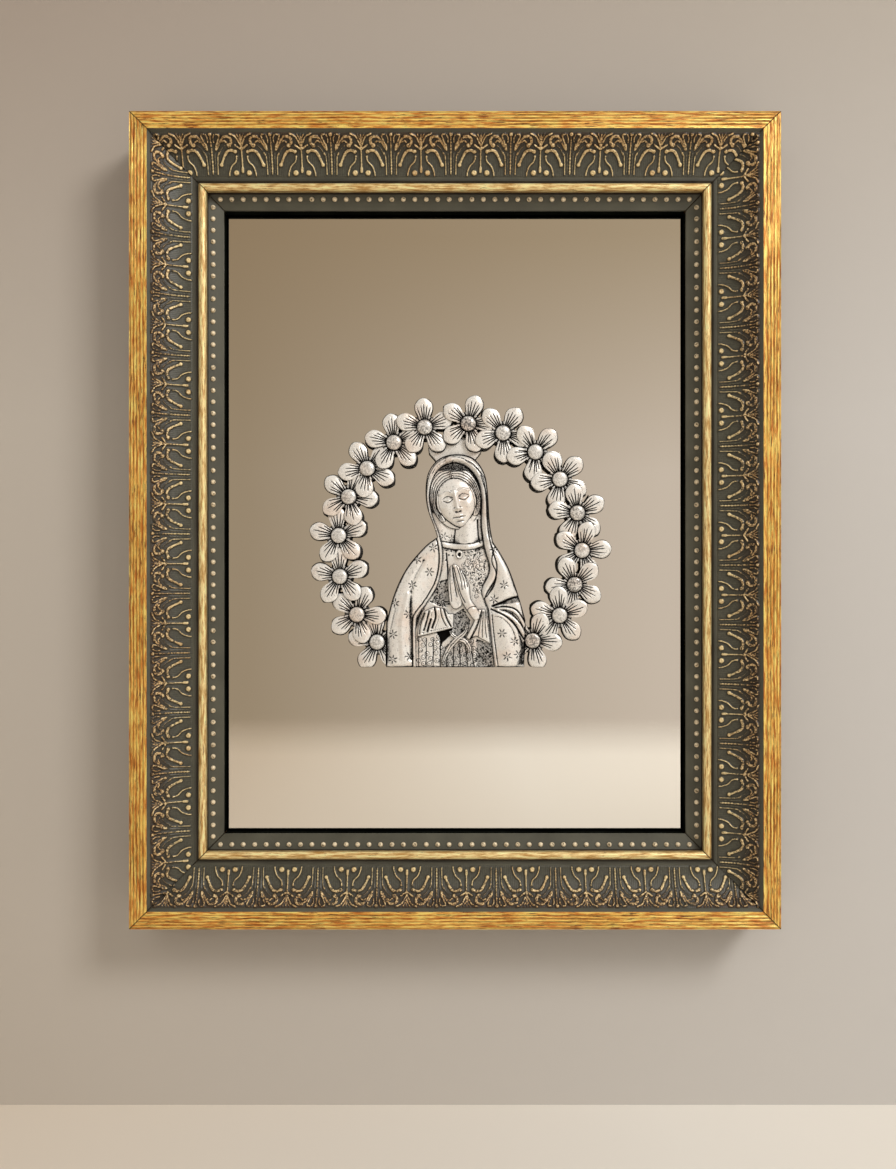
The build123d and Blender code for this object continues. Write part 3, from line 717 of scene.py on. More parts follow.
def moulding_section(moulding, section):
    """Rows of inset, height, finish number, hollow and reed depth, from the outer back edge; the hollow is
    painted shade.
    """
    rows = []

    def run(points, finish, hollow=0.0, reed=0.0):
        hollow, reed = (np.broadcast_to(values, len(points)) for values in (hollow, reed))
        rows.extend((*point, finish, dark, cut) for point, dark, cut in zip(points, hollow, reed))

    back = 0.05 * MM
    corner_drop = 0.3 * MM
    rise = np.linspace(back, CREST - moulding.band_fall - 0.4 * MM, 8)
    run([(0.0, height) for height in rise], SIDE_PAINT)
    share = np.linspace(0, 1, 84)
    across = share * moulding.band_width
    fall = moulding.band_fall * (1 - share) ** 2 + corner_drop * np.exp(-across / (0.35 * MM))
    band = np.stack([across, CREST - fall], -1)
    cut = band_reeds(share, moulding)
    # Painted shade in the reed grooves.
    run(band, GILT, cut * 0.8, cut)
    run(band[-1] + (section.cove_start - band[-1]) * np.linspace(0.15, 1, 5)[:, None], PAINT)
    share = np.linspace(-1, 1, 32)[1:]
    # Painted shade towards the foot of the cove.
    run(section.cove_point(share), PAINT, smoothstep(np.linspace(-1, 1, 31), 0.86, 1.0) * 0.7)
    # The groove and the bead's side wall get the dark groove finish, a painted shadow line.
    foot = (section.bead_inset - moulding.groove * 0.66, section.bead - 0.2 * MM)
    run([foot, (section.bead_inset - 0.1 * MM, section.bead - 0.3 * MM)], SHADOW)
    angle = np.linspace(math.pi, 0, 22)
    middle = np.array([section.bead_inset + moulding.bead_radius, section.bead])
    # Painted shade on both sides of the bead.
    run(middle + moulding.bead_radius * on_circle(angle), BEAD, np.abs(np.cos(angle)) ** 10)
    wall = (section.bead - 1.2 * MM, section.flat + 0.1 * MM)
    run([(section.flat_inset, height) for height in wall], SHADOW)
    run([section.flat_point(distance * MM) for distance in (0.0, 0.6, 2.0, 4.0, 5.6)], PAINT)
    edge = np.array([moulding.width - moulding.edge_round, section.sight - moulding.edge_round])
    run(edge + on_circle(np.linspace(math.pi / 2, 0, 5)) * moulding.edge_round, PAINT)
    seat = GLASS + 0.02 * MM
    run([(moulding.width, section.sight - 0.9 * MM), (moulding.width, seat)], LIP)
    inner = moulding.width - moulding.rabbet
    run([(inner, seat), (inner, back)], BARE)
    return rows


def build_rail(side, moulding, finishes):
    """One mitred length of moulding, with its reeds wandering a little along it."""
    section = Section(moulding)
    inset, height, finish, hollow, reed = map(np.array, zip(*moulding_section(moulding, section)))
    steps = np.hypot(np.diff(inset, append=inset[0]), np.diff(height, append=height[0]))
    across = np.concatenate([[0], np.cumsum(steps)[:-1]])
    mitre_gap = 0.03 * MM
    mitre_vee = 0.3 * MM
    vee_depth = 0.22 * MM
    reach = half_length(side) - inset - mitre_gap
    stations = np.linspace(-1, 1, 141)[:, None]
    along = np.vstack([-reach, stations * (reach - mitre_vee), reach])
    ended = np.zeros((len(along), 1))
    ended[[0, -1]] = 1.0
    seed = SIDES.index(side)
    wander = 0.55 + 0.45 * np.sin(along * 95 + across * 4100 + seed) * np.sin(along * 37 + seed * 2.1)
    front = height > section.sight - moulding.edge_round
    level = height - reed * moulding.reed_depth * (0.55 + wander) - ended * front * vee_depth
    faces = grid_faces(*along.shape, closed=True)
    caps = [np.arange(len(inset)), np.arange(len(inset)) + (len(along) - 1) * len(inset)]
    turned = 1 if faces_outward(side) else 0
    caps[turned] = caps[turned][::-1]
    if faces_outward(side):
        faces = faces[:, ::-1]
    mesh = new_mesh(
        "rail",
        lay(side, along, np.broadcast_to(inset, along.shape), level),
        [*faces, *caps],
        # Painted shade in the hollows, stronger at the mitred ends.
        hollow=np.clip(hollow * (0.45 + 0.75 * wander) + ended * 0.9, 0, 1),
        along=along + seed,
        across=np.broadcast_to(across, along.shape),
    )
    for material in finishes:
        mesh.materials.append(material)
    slots = np.append(np.tile(finish, len(along) - 1), [BARE, BARE])
    mesh.polygons.foreach_set("material_index", slots.astype(np.int32))
    settle(f"moulding_{side}", mesh, [f"{side}_rail"], crease=38)


# ---- pressed ornament -------------------------------------------------------------------------------
# Where a palmette's axis stands on each rail, and how many flutes the ground has in one period.
ORNAMENT_START = {"top": 11.8 * MM, "bottom": 5.3 * MM, "left": 7.8 * MM, "right": -6.6 * MM}
FLUTES = 32


def motif(along, down):
    """Height of the raised work, 0 to 1, at a place in millimetres from a palmette's axis and the outer edge.

    The work is the same on both sides of the palmette's axis, and of the bud's axis half a period away.
    """
    points = np.stack([np.abs(along).ravel(), down.ravel()], -1)
    raised = np.zeros(len(points))

    def line(width, rise, *path):
        nonlocal raised
        gap = distance_to(points, smooth_line(path))
        vein = 0.3 * round_top(gap, width / 5) if width > 1 else 0
        raised = np.maximum(raised, rise * round_top(gap, width / 2) - vein)

    def knob(x, y, radius, rise):
        nonlocal raised
        gap = np.hypot(points[:, 0] - x, points[:, 1] - y)
        pit = 0.35 * round_top(gap, radius / 3)
        raised = np.maximum(raised, rise * round_top(gap, radius) - pit)

    # Palmette: fan, collar, stem with its drop, two arms, two thin scrolls and two berries.
    line(0.9, 0.9, (0.1, 6.1), (1.0, 4.3), (2.3, 1.8), (4.7, 0.5))
    line(0.65, 0.75, (0.1, 4.6), (0.6, 2.6), (1.5, 0.8))
    line(0.7, 0.8, (0, 1.0), (0, 5.4))
    line(1.0, 0.95, (0, 7.7), (1.5, 6.7), (2.8, 5.7))
    knob(0, 7.2, 0.9, 0.95)
    line(0.7, 0.8, (0, 7.6), (0, 15.4))
    line(1.3, 0.95, (0, 15.9), (0, 17.6))
    knob(2.9, 8.7, 1.0, 1.0)
    line(1.4, 1.0, (3.2, 8.6), (4.8, 8.1), (6.6, 8.7), (7.9, 10.5))
    line(1.15, 0.95, (7.9, 10.5), (8.9, 12.7), (9.6, 14.4))
    knob(9.7, 14.6, 0.95, 1.0)
    knob(2.5, 10.9, 0.55, 0.8)
    line(0.7, 0.78, (2.5, 10.9), (2.7, 12.4), (3.3, 13.5), (4.9, 15.1), (5.9, 17.5), (6.2, 19.3))
    knob(2.95, 18.1, 1.35, 1.0)
    # Bud between the palmettes: beaded stem, two looped petals, two heavy scrolls and thin flutes.
    axis = 13.7
    line(0.65, 0.72, (axis, 1.0), (axis, 18.7))
    for drop in np.arange(4.6, 18.4, 1.45):
        knob(axis, drop, 0.48, 0.85)
    knob(axis, 0.9, 0.95, 1.0)
    line(0.7, 0.8, (12.3, 4.6), (12.4, 2.6), (11.7, 1.0))
    line(0.85, 0.9, (11.5, 6.3), (10.4, 3.8), (9.6, 1.3), (10.9, 0.7))
    line(1.0, 0.95, (11.4, 5.6), (11.7, 7.9))
    line(1.5, 1.0, (5.4, 5.9), (4.5, 4.8), (4.4, 3.0), (5.5, 1.9), (7.5, 1.9))
    line(1.1, 0.9, (7.5, 1.9), (8.9, 3.3), (9.8, 5.0), (11.4, 7.6))
    line(0.9, 0.8, (6.6, 4.6), (7.6, 3.7), (8.6, 4.4))
    knob(5.6, 5.9, 1.15, 1.0)
    line(0.55, 0.5, (7.4, 6.0), (9.2, 7.6), (10.4, 10.2))
    line(0.62, 0.68, (10.4, 9.2), (11.2, 11.6), (11.4, 18.9))
    line(0.5, 0.42, (12.4, 9.6), (12.5, 18.2))
    return raised.reshape(along.shape)


def ornament_tile(moulding, ornament):
    """One period of the ornament, laid in the cove: X along the rail, Y inset and Z height."""
    least_raised, edge_drop, rear_depth, rear_rows, shade_passes = 0.15, 0.08 * MM, 0.5 * MM, 14, 7
    section = Section(moulding)
    arc = section.radius * section.half_angle
    outer = ornament.outer_margin / arc - 1
    inner = 1 - ornament.inner_margin / arc
    width = (inner - outer) * arc
    columns = round(ornament.period / ornament.grid) + 1
    rows = round(width / ornament.grid) + 1
    along = np.linspace(-ornament.period / 2, ornament.period / 2, columns)
    share = np.linspace(0, 1, rows)[:, None]
    along_grid, down_grid = np.broadcast_arrays(along, share * width)
    raised = motif(along_grid / MM, down_grid / MM)
    bare = raised < least_raised
    flutes = (1 + np.cos(math.tau * along_grid / (ornament.period / FLUTES))) / 2 * bare
    edge = smoothstep(np.minimum(share, 1 - share), 0, 0.03)
    above = edge * (ornament.skin + flutes * ornament.flute) + raised * ornament.relief
    above -= (1 - edge) * edge_drop
    place = np.broadcast_to(outer + (inner - outer) * share, above.shape)
    front = np.concatenate([along_grid[..., None], section.cove_point(place, above)], -1)
    buried = section.cove_point(np.linspace(inner, outer, rear_rows), -rear_depth)
    rear = np.zeros((len(buried), columns, 3))
    rear[..., 0] = along
    rear[..., 1:] = buried[:, None, :]
    total = rows + len(buried)
    column = np.arange(columns - 1)
    last = (total - 1) * columns
    closing = np.stack([last + column, last + column + 1, column + 1, column], -1)
    # Painted shade beside the raised work and in the flutes: the blurred raised work less the work itself.
    cloud = raised
    for _ in range(shade_passes):
        cloud = (cloud + sum(np.roll(cloud, shift, axis) for shift in (1, -1) for axis in (0, 1))) / 5
    values = {
        "raised": raised,
        "hollow": np.clip(cloud * 2.2 - raised * 2.4, 0, 1) + 0.25 * (1 - flutes) * bare,
        "outer": np.broadcast_to(1 - share, raised.shape),
    }
    hidden = np.zeros((len(buried), columns))
    values = {key: np.concatenate([numbers, hidden]) for key, numbers in values.items()}
    faces = np.vstack([grid_faces(total, columns), closing])
    return new_mesh("ornament_tile", np.concatenate([front, rear]), faces, **values)


def lay_on_rail(side, mesh, mitred=False):
    """Move a run that was made along X onto its rail, and cut its ends at the mitres."""
    mitre_gap, sliver = 0.04 * MM, 0.004 * MM
    points = np.empty(len(mesh.vertices) * 3)
    mesh.vertices.foreach_get("co", points)
    along, inset, height = points.reshape(-1, 3).T
    limit = half_length(side) - inset - mitre_gap if mitred else np.inf
    beyond = np.abs(along) >= limit
    mesh.vertices.foreach_set("co", lay(side, np.clip(along, -limit, limit), inset, height).ravel())
    with reworked(mesh) as work:
        if mitred:
            cut = [face for face in work.faces if all(beyond[corner.index] for corner in face.verts)]
            bmesh.ops.delete(work, geom=cut, context="FACES")
            bmesh.ops.remove_doubles(work, verts=work.verts, dist=sliver)
            loose = [vert for vert in work.verts if not vert.link_faces]
            bmesh.ops.delete(work, geom=loose, context="VERTS")
            bmesh.ops.holes_fill(work, edges=[edge for edge in work.edges if edge.is_boundary])
        if faces_outward(side):
            bmesh.ops.reverse_faces(work, faces=work.faces)


def pearl_blank(moulding, ornament):
    """One half-round pearl with its crown rubbed flat, on the sloping flat at a rail's middle."""
    spokes = 18
    rise = np.array([-0.12, 0.0, 0.16, 0.34, 0.52, 0.70, 0.86, 0.96])
    reach = np.sqrt(1 - np.clip(rise, 0, 1) ** 2)
    rise[-1] = 0.90
    ring = ornament.pearl_radius * np.multiply.outer(reach, on_circle(full_turn(spokes)))
    inset = ornament.pearl_inset + ring[..., 1]
    seat = Section(moulding).flat_point(inset, ornament.pearl_radius * rise[:, None])
    numbers = np.arange(ring[..., 0].size).reshape(-1, spokes)
    faces = [*grid_faces(len(rise), spokes, closed=True), numbers[-1], numbers[0][::-1]]
    # The hollow value is painted shade round the pearl's foot.
    crown, hollow = smoothstep(rise, 0.78, 0.9), smoothstep(-rise, -0.2, 0.1)
    return new_mesh(
        "pearl",
        np.concatenate([ring[..., :1], seat], -1),
        faces,
        crown=np.repeat(crown, spokes),
        hollow=np.repeat(hollow, spokes),
    )


# ---- cast reliefs -----------------------------------------------------------------------------------
# Row spacing of the reliefs' triangles, as a share of their sides.
EQUILATERAL = 0.87


def figure_unit():
    """One hundredth of the figure's height."""
    casting = bpy.context.scene.casting
    return (wreath_middle(casting)[1] + casting.wreath_radius - casting.crown_drop - FOOT) / 100


def wreath_middle(casting):
    """Middle of the wreath's ring."""
    first = math.radians(FLOWERS[0][0])
    z = FOOT + casting.foot_rise - casting.wreath_radius * math.sin(first)
    return casting.middle + casting.wreath_shift, z


class Relief:
    """A cast surface in hundredths of the figure's height: its outline, and each point's height and patina.

    Heights are in millimetres above the frame's back. Patina is 0 on rubbed metal and 1 in black hollows; it
    also holds painted shade in wide hollows, along the outer edge and on the side walls.
    Strokes are given from the middle and along the tilt of the casting.
    """

    def __init__(self, outline, step, level, middle=(0.0, 0.0), tilt=0.0):
        self.loop = resample(np.asarray(outline, float), step)
        self.middle, self.tilt = middle, tilt
        low, high = self.loop.min(0), self.loop.max(0)
        row = step * EQUILATERAL
        across, up = np.meshgrid(np.arange(low[0], high[0], step), np.arange(low[1], high[1], row))
        across[1::2] += step / 2
        inner = np.stack([across.ravel(), up.ravel()], -1)
        inner = inner[inside(inner, self.loop)]
        clear = distance_to(inner, closed(self.loop)) > step * 0.55
        self.points, self.faces = self.triangles(np.vstack([self.loop, inner[clear]]))
        self.rim = distance_to(self.points, closed(self.loop))
        self.height = np.full(len(self.points), float(level))
        self.patina = np.zeros(len(self.points))

    def triangles(self, points):
        """Fill the outline, whose points come first, with triangles that use all the points."""
        places = [Vector(point) for point in points.tolist()]
        ring = list(range(len(self.loop)))
        corners, _, faces, *_ = delaunay_2d_cdt(places, [], [ring], 1, 1e-6, False)
        corners = np.array([tuple(corner) for corner in corners])
        faces = np.array(faces)
        return corners, faces[inside(corners[faces].mean(1), self.loop)]

    def edges(self):
        """The three sides of every triangle, in its own turning sense."""
        return np.vstack([self.faces[:, [0, 1]], self.faces[:, [1, 2]], self.faces[:, [2, 0]]])

    def local(self, centre=(0.0, 0.0)):
        """How far each point lies sideways and upwards of a place, along the casting's tilt."""
        gap = self.points - tilted([centre], self.middle, self.tilt)
        cos, sin = math.cos(self.tilt), math.sin(self.tilt)
        return gap[:, 0] * cos + gap[:, 1] * sin, gap[:, 1] * cos - gap[:, 0] * sin

    def near(self, path, reach):
        """The points within reach of a line, and how far they are from it."""
        path = smooth_line(tilted(path, self.middle, self.tilt))
        low, high = path.min(0) - reach, path.max(0) + reach
        chosen = np.flatnonzero(((self.points > low) & (self.points < high)).all(1))
        return chosen, distance_to(self.points[chosen], path)

    def blacken(self, amount, chosen=slice(None)):
        """Leave at least this much patina."""
        self.patina[chosen] = np.maximum(self.patina[chosen], amount)

    def press(self, share, depth, dark, chosen=slice(None)):
        """Sink the surface by a share of a depth, and darken it by the same share."""
        self.height[chosen] -= depth * share
        self.blacken(dark * share, chosen)

    def ridge(self, path, width, rise, blend=False):
        """Raise a rounded roll along a line, or sink a channel when the rise is negative."""
        chosen, gap = self.near(path, width / 2)
        share = smoothstep(-gap, -width / 2, 0) if blend else round_top(gap, width / 2)
        self.height[chosen] += rise * share

    def groove(self, path, width, depth, dark=0.8):
        """Cut a narrow line and darken it."""
        chosen, gap = self.near(path, width / 2)
        self.press(smoothstep(-gap, -width / 2, 0), depth, dark, chosen)

    def mound(self, centre, radii, rise):
        """Raise, or with a negative rise sink, a soft oval."""
        sideways, upwards = self.local(centre)
        self.height += rise * smoothstep(-np.hypot(sideways / radii[0], upwards / radii[1]), -1, 0)

    def area(self, loop, soft=0.6):
        """How far each point is inside an area, from 0 at its edge to 1 at the soft distance inwards."""
        loop = np.asarray(loop, float)
        return inside(self.points, loop) * smoothstep(distance_to(self.points, closed(loop)), 0, soft)

    def step(self, loop, rise, dark=0.0, soft=0.6):
        """Raise or sink a whole area and darken it."""
        self.press(self.area(loop, soft), -rise, dark)

    def dots(self, centres, radius, depth, dark=0.8):
        """Punch small round marks."""
        for centre in centres:
            gap = np.hypot(*(self.points - np.asarray(centre)).T)
            self.press(smoothstep(-gap, -radius, -radius * 0.25), depth, dark)

    def stipple(self, loop, count, radius, depth, dark, seed):
        """Punch an area all over with marks at random places."""
        self.dots(scattered(loop, count * 3, seed)[:count], radius, depth, dark)

    def sprig(self, centre, radius=2.0, petals=5, turn=0.0):
        """Incise a small flower: short fat strokes about a dot."""
        centre = np.asarray(centre, float)
        self.dots([centre], radius * 0.17, 0.15, 1.0)
        for toward in on_circle(turn + full_turn(petals)):
            self.groove([centre + radius * 0.42 * toward, centre + radius * toward], 0.42 * radius, 0.2, 1.0)

    def lace(self, loop, count, radius, seed, dark=0.75):
        """Fill an area with small incised rosettes that keep clear of each other."""
        chosen = []
        for place in scattered(loop, count * 40, seed):
            if len(chosen) < count and all(np.hypot(*(place - other)) > radius * 1.9 for other in chosen):
                chosen.append(place)
        for place in chosen:
            gap = np.hypot(*(self.points - place).T)
            self.height += 0.22 * smoothstep(-gap, -radius, 0)
            self.press(smoothstep(-np.abs(gap - radius * 0.75), -0.24, 0), 0.16, dark)
            self.dots([place], 0.34, 0.15, dark)

    def soften_rim(self, radius, drop):
        """Round the outer edge over."""
        share = np.clip(1 - self.rim / radius, 0, 1)
        self.height -= drop * (1 - np.sqrt(1 - share**2))

    def sunk(self, passes):
        """How far each point lies below its neighbourhood, which widens with the passes."""
        edges = self.edges()
        here, there = np.vstack([edges, edges[:, ::-1]]).T
        count = np.maximum(np.bincount(here, minlength=len(self.points)), 1)
        level = self.height
        for _ in range(passes):
            level = np.bincount(here, weights=level[there], minlength=len(self.points)) / count
        return level - self.height

    def antique(self, strength=0.95, fine=0.14, broad_shade=0.42, rim=0.6):
        """Leave patina in the fine hollows, painted shade in the wide ones, and patina with painted shade
        along the outer edge.
        """
        near, far = 5, 60
        self.blacken(strength * smoothstep(self.sunk(near), 0.02, fine))
        # Painted shade over the wide hollows.
        self.blacken(0.8 * strength * smoothstep(self.sunk(far), 0.05, broad_shade))
        # Patina and painted shade along the outer edge.
        self.blacken(0.7 * smoothstep(-self.rim, -rim, 0))

    def world(self, points, height):
        """World points from figure points and heights in millimetres."""
        x, z = points.T * figure_unit()
        y = np.broadcast_to(-np.asarray(height) * MM, x.shape)
        return np.stack([bpy.context.scene.casting.middle + x, y, FOOT + z], -1)

    def build(self, name, floor, finish, node):
        """Close the casting with side walls and a flat back, and make the piece for a CAD node."""
        shoulder_drop, wall_patina_shade, foot_patina_shade = 0.35, 0.75, 0.95
        count = len(self.points)
        edges = self.edges()
        border = edges[~np.isin(edges @ [count, 1], edges @ [1, count])]
        ring = np.unique(border)
        start, end = np.searchsorted(ring, border).T
        lip, foot = count, count + len(ring)
        walls = [np.stack([border[:, 1], border[:, 0], lip + start, lip + end], -1)]
        walls.append(np.stack([lip + end, lip + start, foot + start, foot + end], -1))
        outline = self.points[ring]
        corners, back = self.triangles(outline)
        lookup = {tuple(np.round(point, 5)): index for index, point in enumerate(outline)}
        index_of = np.array([lookup.get(tuple(np.round(point, 5)), 0) for point in corners])
        top = self.height[ring]
        shoulder = top - np.minimum(shoulder_drop, (top - floor) * 0.5)
        levels = ((self.points, self.height), (outline, shoulder), (outline, floor))
        points = np.vstack([self.world(*level) for level in levels])
        shade = np.clip(self.patina, 0, 1)
        # Side walls and their foot are blackened: patina, and painted shade where the walls stand in shadow.
        patina = np.concatenate([shade, *(np.full(len(ring), dark) for dark in (wall_patina_shade, foot_patina_shade))])
        faces = [*self.faces, *np.vstack(walls), *(foot + index_of[back])[:, ::-1]]
        settle(name, new_mesh(name, points, faces, patina=patina), [node], finish, 50)


def closed(loop):
    """An outline with its first point again at its end."""
    return np.vstack([loop, loop[:1]])


def tilted(places, middle, tilt):
    """Figure points from places about a middle, turned by a tilt towards the viewer's left."""
    x, z = np.asarray(places, float).T
    cos, sin = math.cos(tilt), math.sin(tilt)
    return np.stack([middle[0] + x * cos - z * sin, middle[1] + x * sin + z * cos], -1)


def scattered(loop, count, seed):
    """Those of a number of random places that fall inside an area."""
    loop = np.asarray(loop, float)
    places = np.random.default_rng(seed).uniform(loop.min(0), loop.max(0), (count, 2))
    return places[inside(places, loop)]


def shifted(path, x, z=0.0):
    """A path moved sideways and upwards."""
    return [(place[0] + x, place[1] + z) for place in path]


def mantle_outline():
    """Veil and cloak, from the foot's left corner round by the right."""
    right = smooth_line([(32.8, 22), (29.4, 33.9), (25.2, 45.6), (21.2, 53.1), (17.4, 59)])
    veil = [(17.4, 59), (16, 68), (15, 83.2), (13.2, 91.6), (8.2, 98.2), (0.3, 100)]
    veil += [(-7.6, 97.9), (-12.6, 91.8), (-14.1, 84), (-13.4, 75), (-10.3, 66.4), (-8.6, 61)]
    left = smooth_line([(-8.6, 61), (-14.6, 56.4), (-22.8, 46.7), (-28.6, 35), (-32.6, 21)])
    return np.vstack([[(-32.6, 0), (32.2, 0)], right[:-1], smooth_line(veil)[:-1], left])


def mantle_opening():
    """Opening in the mantle, which shows the head and the gown."""
    right = smooth_line([(14.6, 27.5), (12, 36.2), (15.4, 46), (13, 56), (11.6, 66), (12, 78)])
    crown = smooth_line([(12, 78), (10.6, 86), (5.4, 93), (-1.6, 95.2), (-9, 91), (-12.2, 81), (-11, 71)])
    left = smooth_line([(-11, 71), (-7.2, 60.5), (-6.1, 50), (-9, 37), (-14.4, 28.4), (-18.6, 18)])
    return np.vstack([[(-18.4, 0), (17.6, 0)], right[:-1], crown[:-1], left])


# Middles of the small flowers on the mantle.
SPRIGS = [(-12.3, 44.7), (-20.2, 38.6), (-28.4, 30.2), (-22.1, 24.9), (-29.2, 15.5), (-29.4, 3.8)]
SPRIGS += [(-21.6, 5.2), (22.6, 38.6), (17.9, 31.8), (21.6, 16), (24, 5.2), (27.5, 12.2), (29.4, 6.1)]
SPRIGS += [(-10.4, 55.9), (-18.0, 50.6), (17.9, 55)]


def sculpt_mantle(finish):
    """Veil and cloak with a rolled border, folds from the elbow and incised sprigs, and the veil's lining."""
    opening = mantle_opening()
    cast = Relief(cut_open(mantle_outline(), opening), 0.33, 12.4)
    veil = [(-9, 62), (-12.4, 73), (-13.2, 83), (-11.2, 91.4), (-5.6, 96.6), (0.6, 97.8)]
    veil += [(7, 95.8), (12, 90), (13.8, 81), (14.4, 70), (15.6, 60)]
    forms = (
        ([(-10, 57), (-20, 44), (-26, 28), (-27, 2)], 19, 1.6),
        ([(17, 57), (22, 46), (23, 36)], 14, 1.4),
        ([(20.5, 24), (24, 12), (24, 1)], 13, 1.3),
        (veil, 6.4, 1.6),
        ([(-22, 34), (-25, 20), (-24.5, 4)], 4.2, 0.55),
        ([(-27.6, 30), (-30.6, 16), (-31, 2)], 3, -0.5),
        ([(-15, 50), (-20.5, 38), (-21, 24), (-21, 4)], 3.4, -0.45),
    )
    for path, width, rise in forms:
        cast.ridge(path, width, rise, blend=True)
    right = [(-3, 96.9), (4.2, 95.4), (9.8, 89.6), (12.2, 81), (12.6, 72), (13.4, 62), (15.4, 54)]
    right += [(17.2, 47.5), (16.4, 41.4), (13.2, 36), (11.2, 31.6)]
    left = [(-2, 96.8), (-8, 93.4), (-11.8, 86), (-12.8, 78), (-11.2, 70), (-8.4, 62), (-6.9, 55.5)]
    left += [(-6.8, 47.5), (-8.9, 39), (-14.0, 30.4), (-17.9, 25.2), (-19.2, 20.2), (-19.0, 0.3)]
    cast.ridge(right, 3.6, 1.1)
    cast.ridge(left, 1.6, 0.9)
    cast.groove(shifted(right[2:], 2.0), 0.9, 0.5, 1.0)
    cast.groove(shifted(left[4:], -1.2, 0.1), 0.8, 0.45, 1.0)
    cast.groove(shifted(left[5:], 0.6), 0.55, 0.25, 0.9)
    for shift, dark in ((1.2, 0.95), (2.7, 0.75)):
        fold = [(1.5 + shift, 98.6 - shift * 0.6), (8.4 + shift * 0.6, 95.4 - shift)]
        fold += [(12.4 + shift * 0.5, 88), (13.6 + shift * 0.45, 79)]
        fold += [(14.0 + shift * 0.45, 70), (15.0 + shift * 0.5, 61)]
        cast.groove(fold, 0.7, 0.35, dark)
    cast.groove([(-3.0, 98.8), (-9.0, 95.4), (-12.7, 88.8), (-13.6, 80), (-11.9, 69)], 0.65, 0.3, 0.85)
    cast.step([(18.6, 28.6), (24, 32.4), (31, 34), (31, 30), (24, 29)], -0.5, 0.5, 1.2)
    cast.step([(27.4, 21.5), (33, 12), (33, 0), (27.6, 0), (29.4, 8), (28.8, 15)], -0.7, 0.72, 2.0)
    cuts = (
        ([(17.2, 28.7), (21.5, 30.4), (25.5, 32.2), (29.6, 33.2)], 1.7, 0.9, 1.0),
        ([(18.4, 28.0), (23, 28.4), (27.6, 27.4), (30.4, 24.6), (32.8, 20.4)], 1.1, 0.7, 1.0),
        ([(16.6, 27.2), (20.4, 25.6), (24.3, 23.2), (28, 19.4), (31.9, 13.2)], 1.3, 0.8, 1.0),
        ([(22.6, 27.0), (27.4, 24.2), (31.4, 18.8)], 0.8, 0.45, 1.0),
        ([(14.9, 26.0), (15.9, 16), (17.9, 0.3)], 0.9, 0.6, 1.0),
        ([(17.0, 25.0), (18.0, 15), (19.9, 0.3)], 0.55, 0.3, 0.85),
        ([(18.6, 57.4), (16.8, 50), (18.9, 44), (17.9, 38.4), (14.4, 33)], 0.9, 0.45, 1.0),
    )
    for cut in cuts:
        cast.groove(*cut)
    rolls = (
        ([(18.5, 27.9), (24.6, 27.6), (29, 25.0), (32.4, 19.6)], 1.5, 0.7),
        ([(19.5, 26.6), (25, 24.2), (29.2, 20.4), (32, 15.8)], 1.5, 0.6),
        ([(16.6, 25), (22, 24), (27, 19), (29.6, 12)], 1.6, 0.4),
        ([(16.0, 26.0), (17.0, 16), (19.0, 0.3)], 1.1, 0.5),
    )
    for roll in rolls:
        cast.ridge(*roll)
    for number, centre in enumerate(SPRIGS):
        cast.sprig(centre, 1.95, 6, number * 0.7)
    cast.soften_rim(3.0, 1.9)
    cast.antique(0.9)
    cast.build("mantle_casting", PAD_TOP / MM, finish, "mantle")
    upper = opening[opening[:, 1] > 55]
    lining = Relief(upper, 0.5, 11.55)
    lining.height += 1.6 * smoothstep(lining.points[:, 1], 87, 91)
    lining.blacken(0.62)
    lining.stipple(upper[upper[:, 1] > 84], 60, 0.55, 0.25, 1.0, 8)
    lining.build("veil_lining_casting", PAD_TOP / MM, finish, "mantle")


def cut_open(outline, opening):
    """One closed outline of the mantle that leaves its opening free down to the foot."""
    foot = [outline[0], opening[0], *opening[:1:-1], opening[1], outline[1]]
    return np.vstack([foot, outline[2:]])


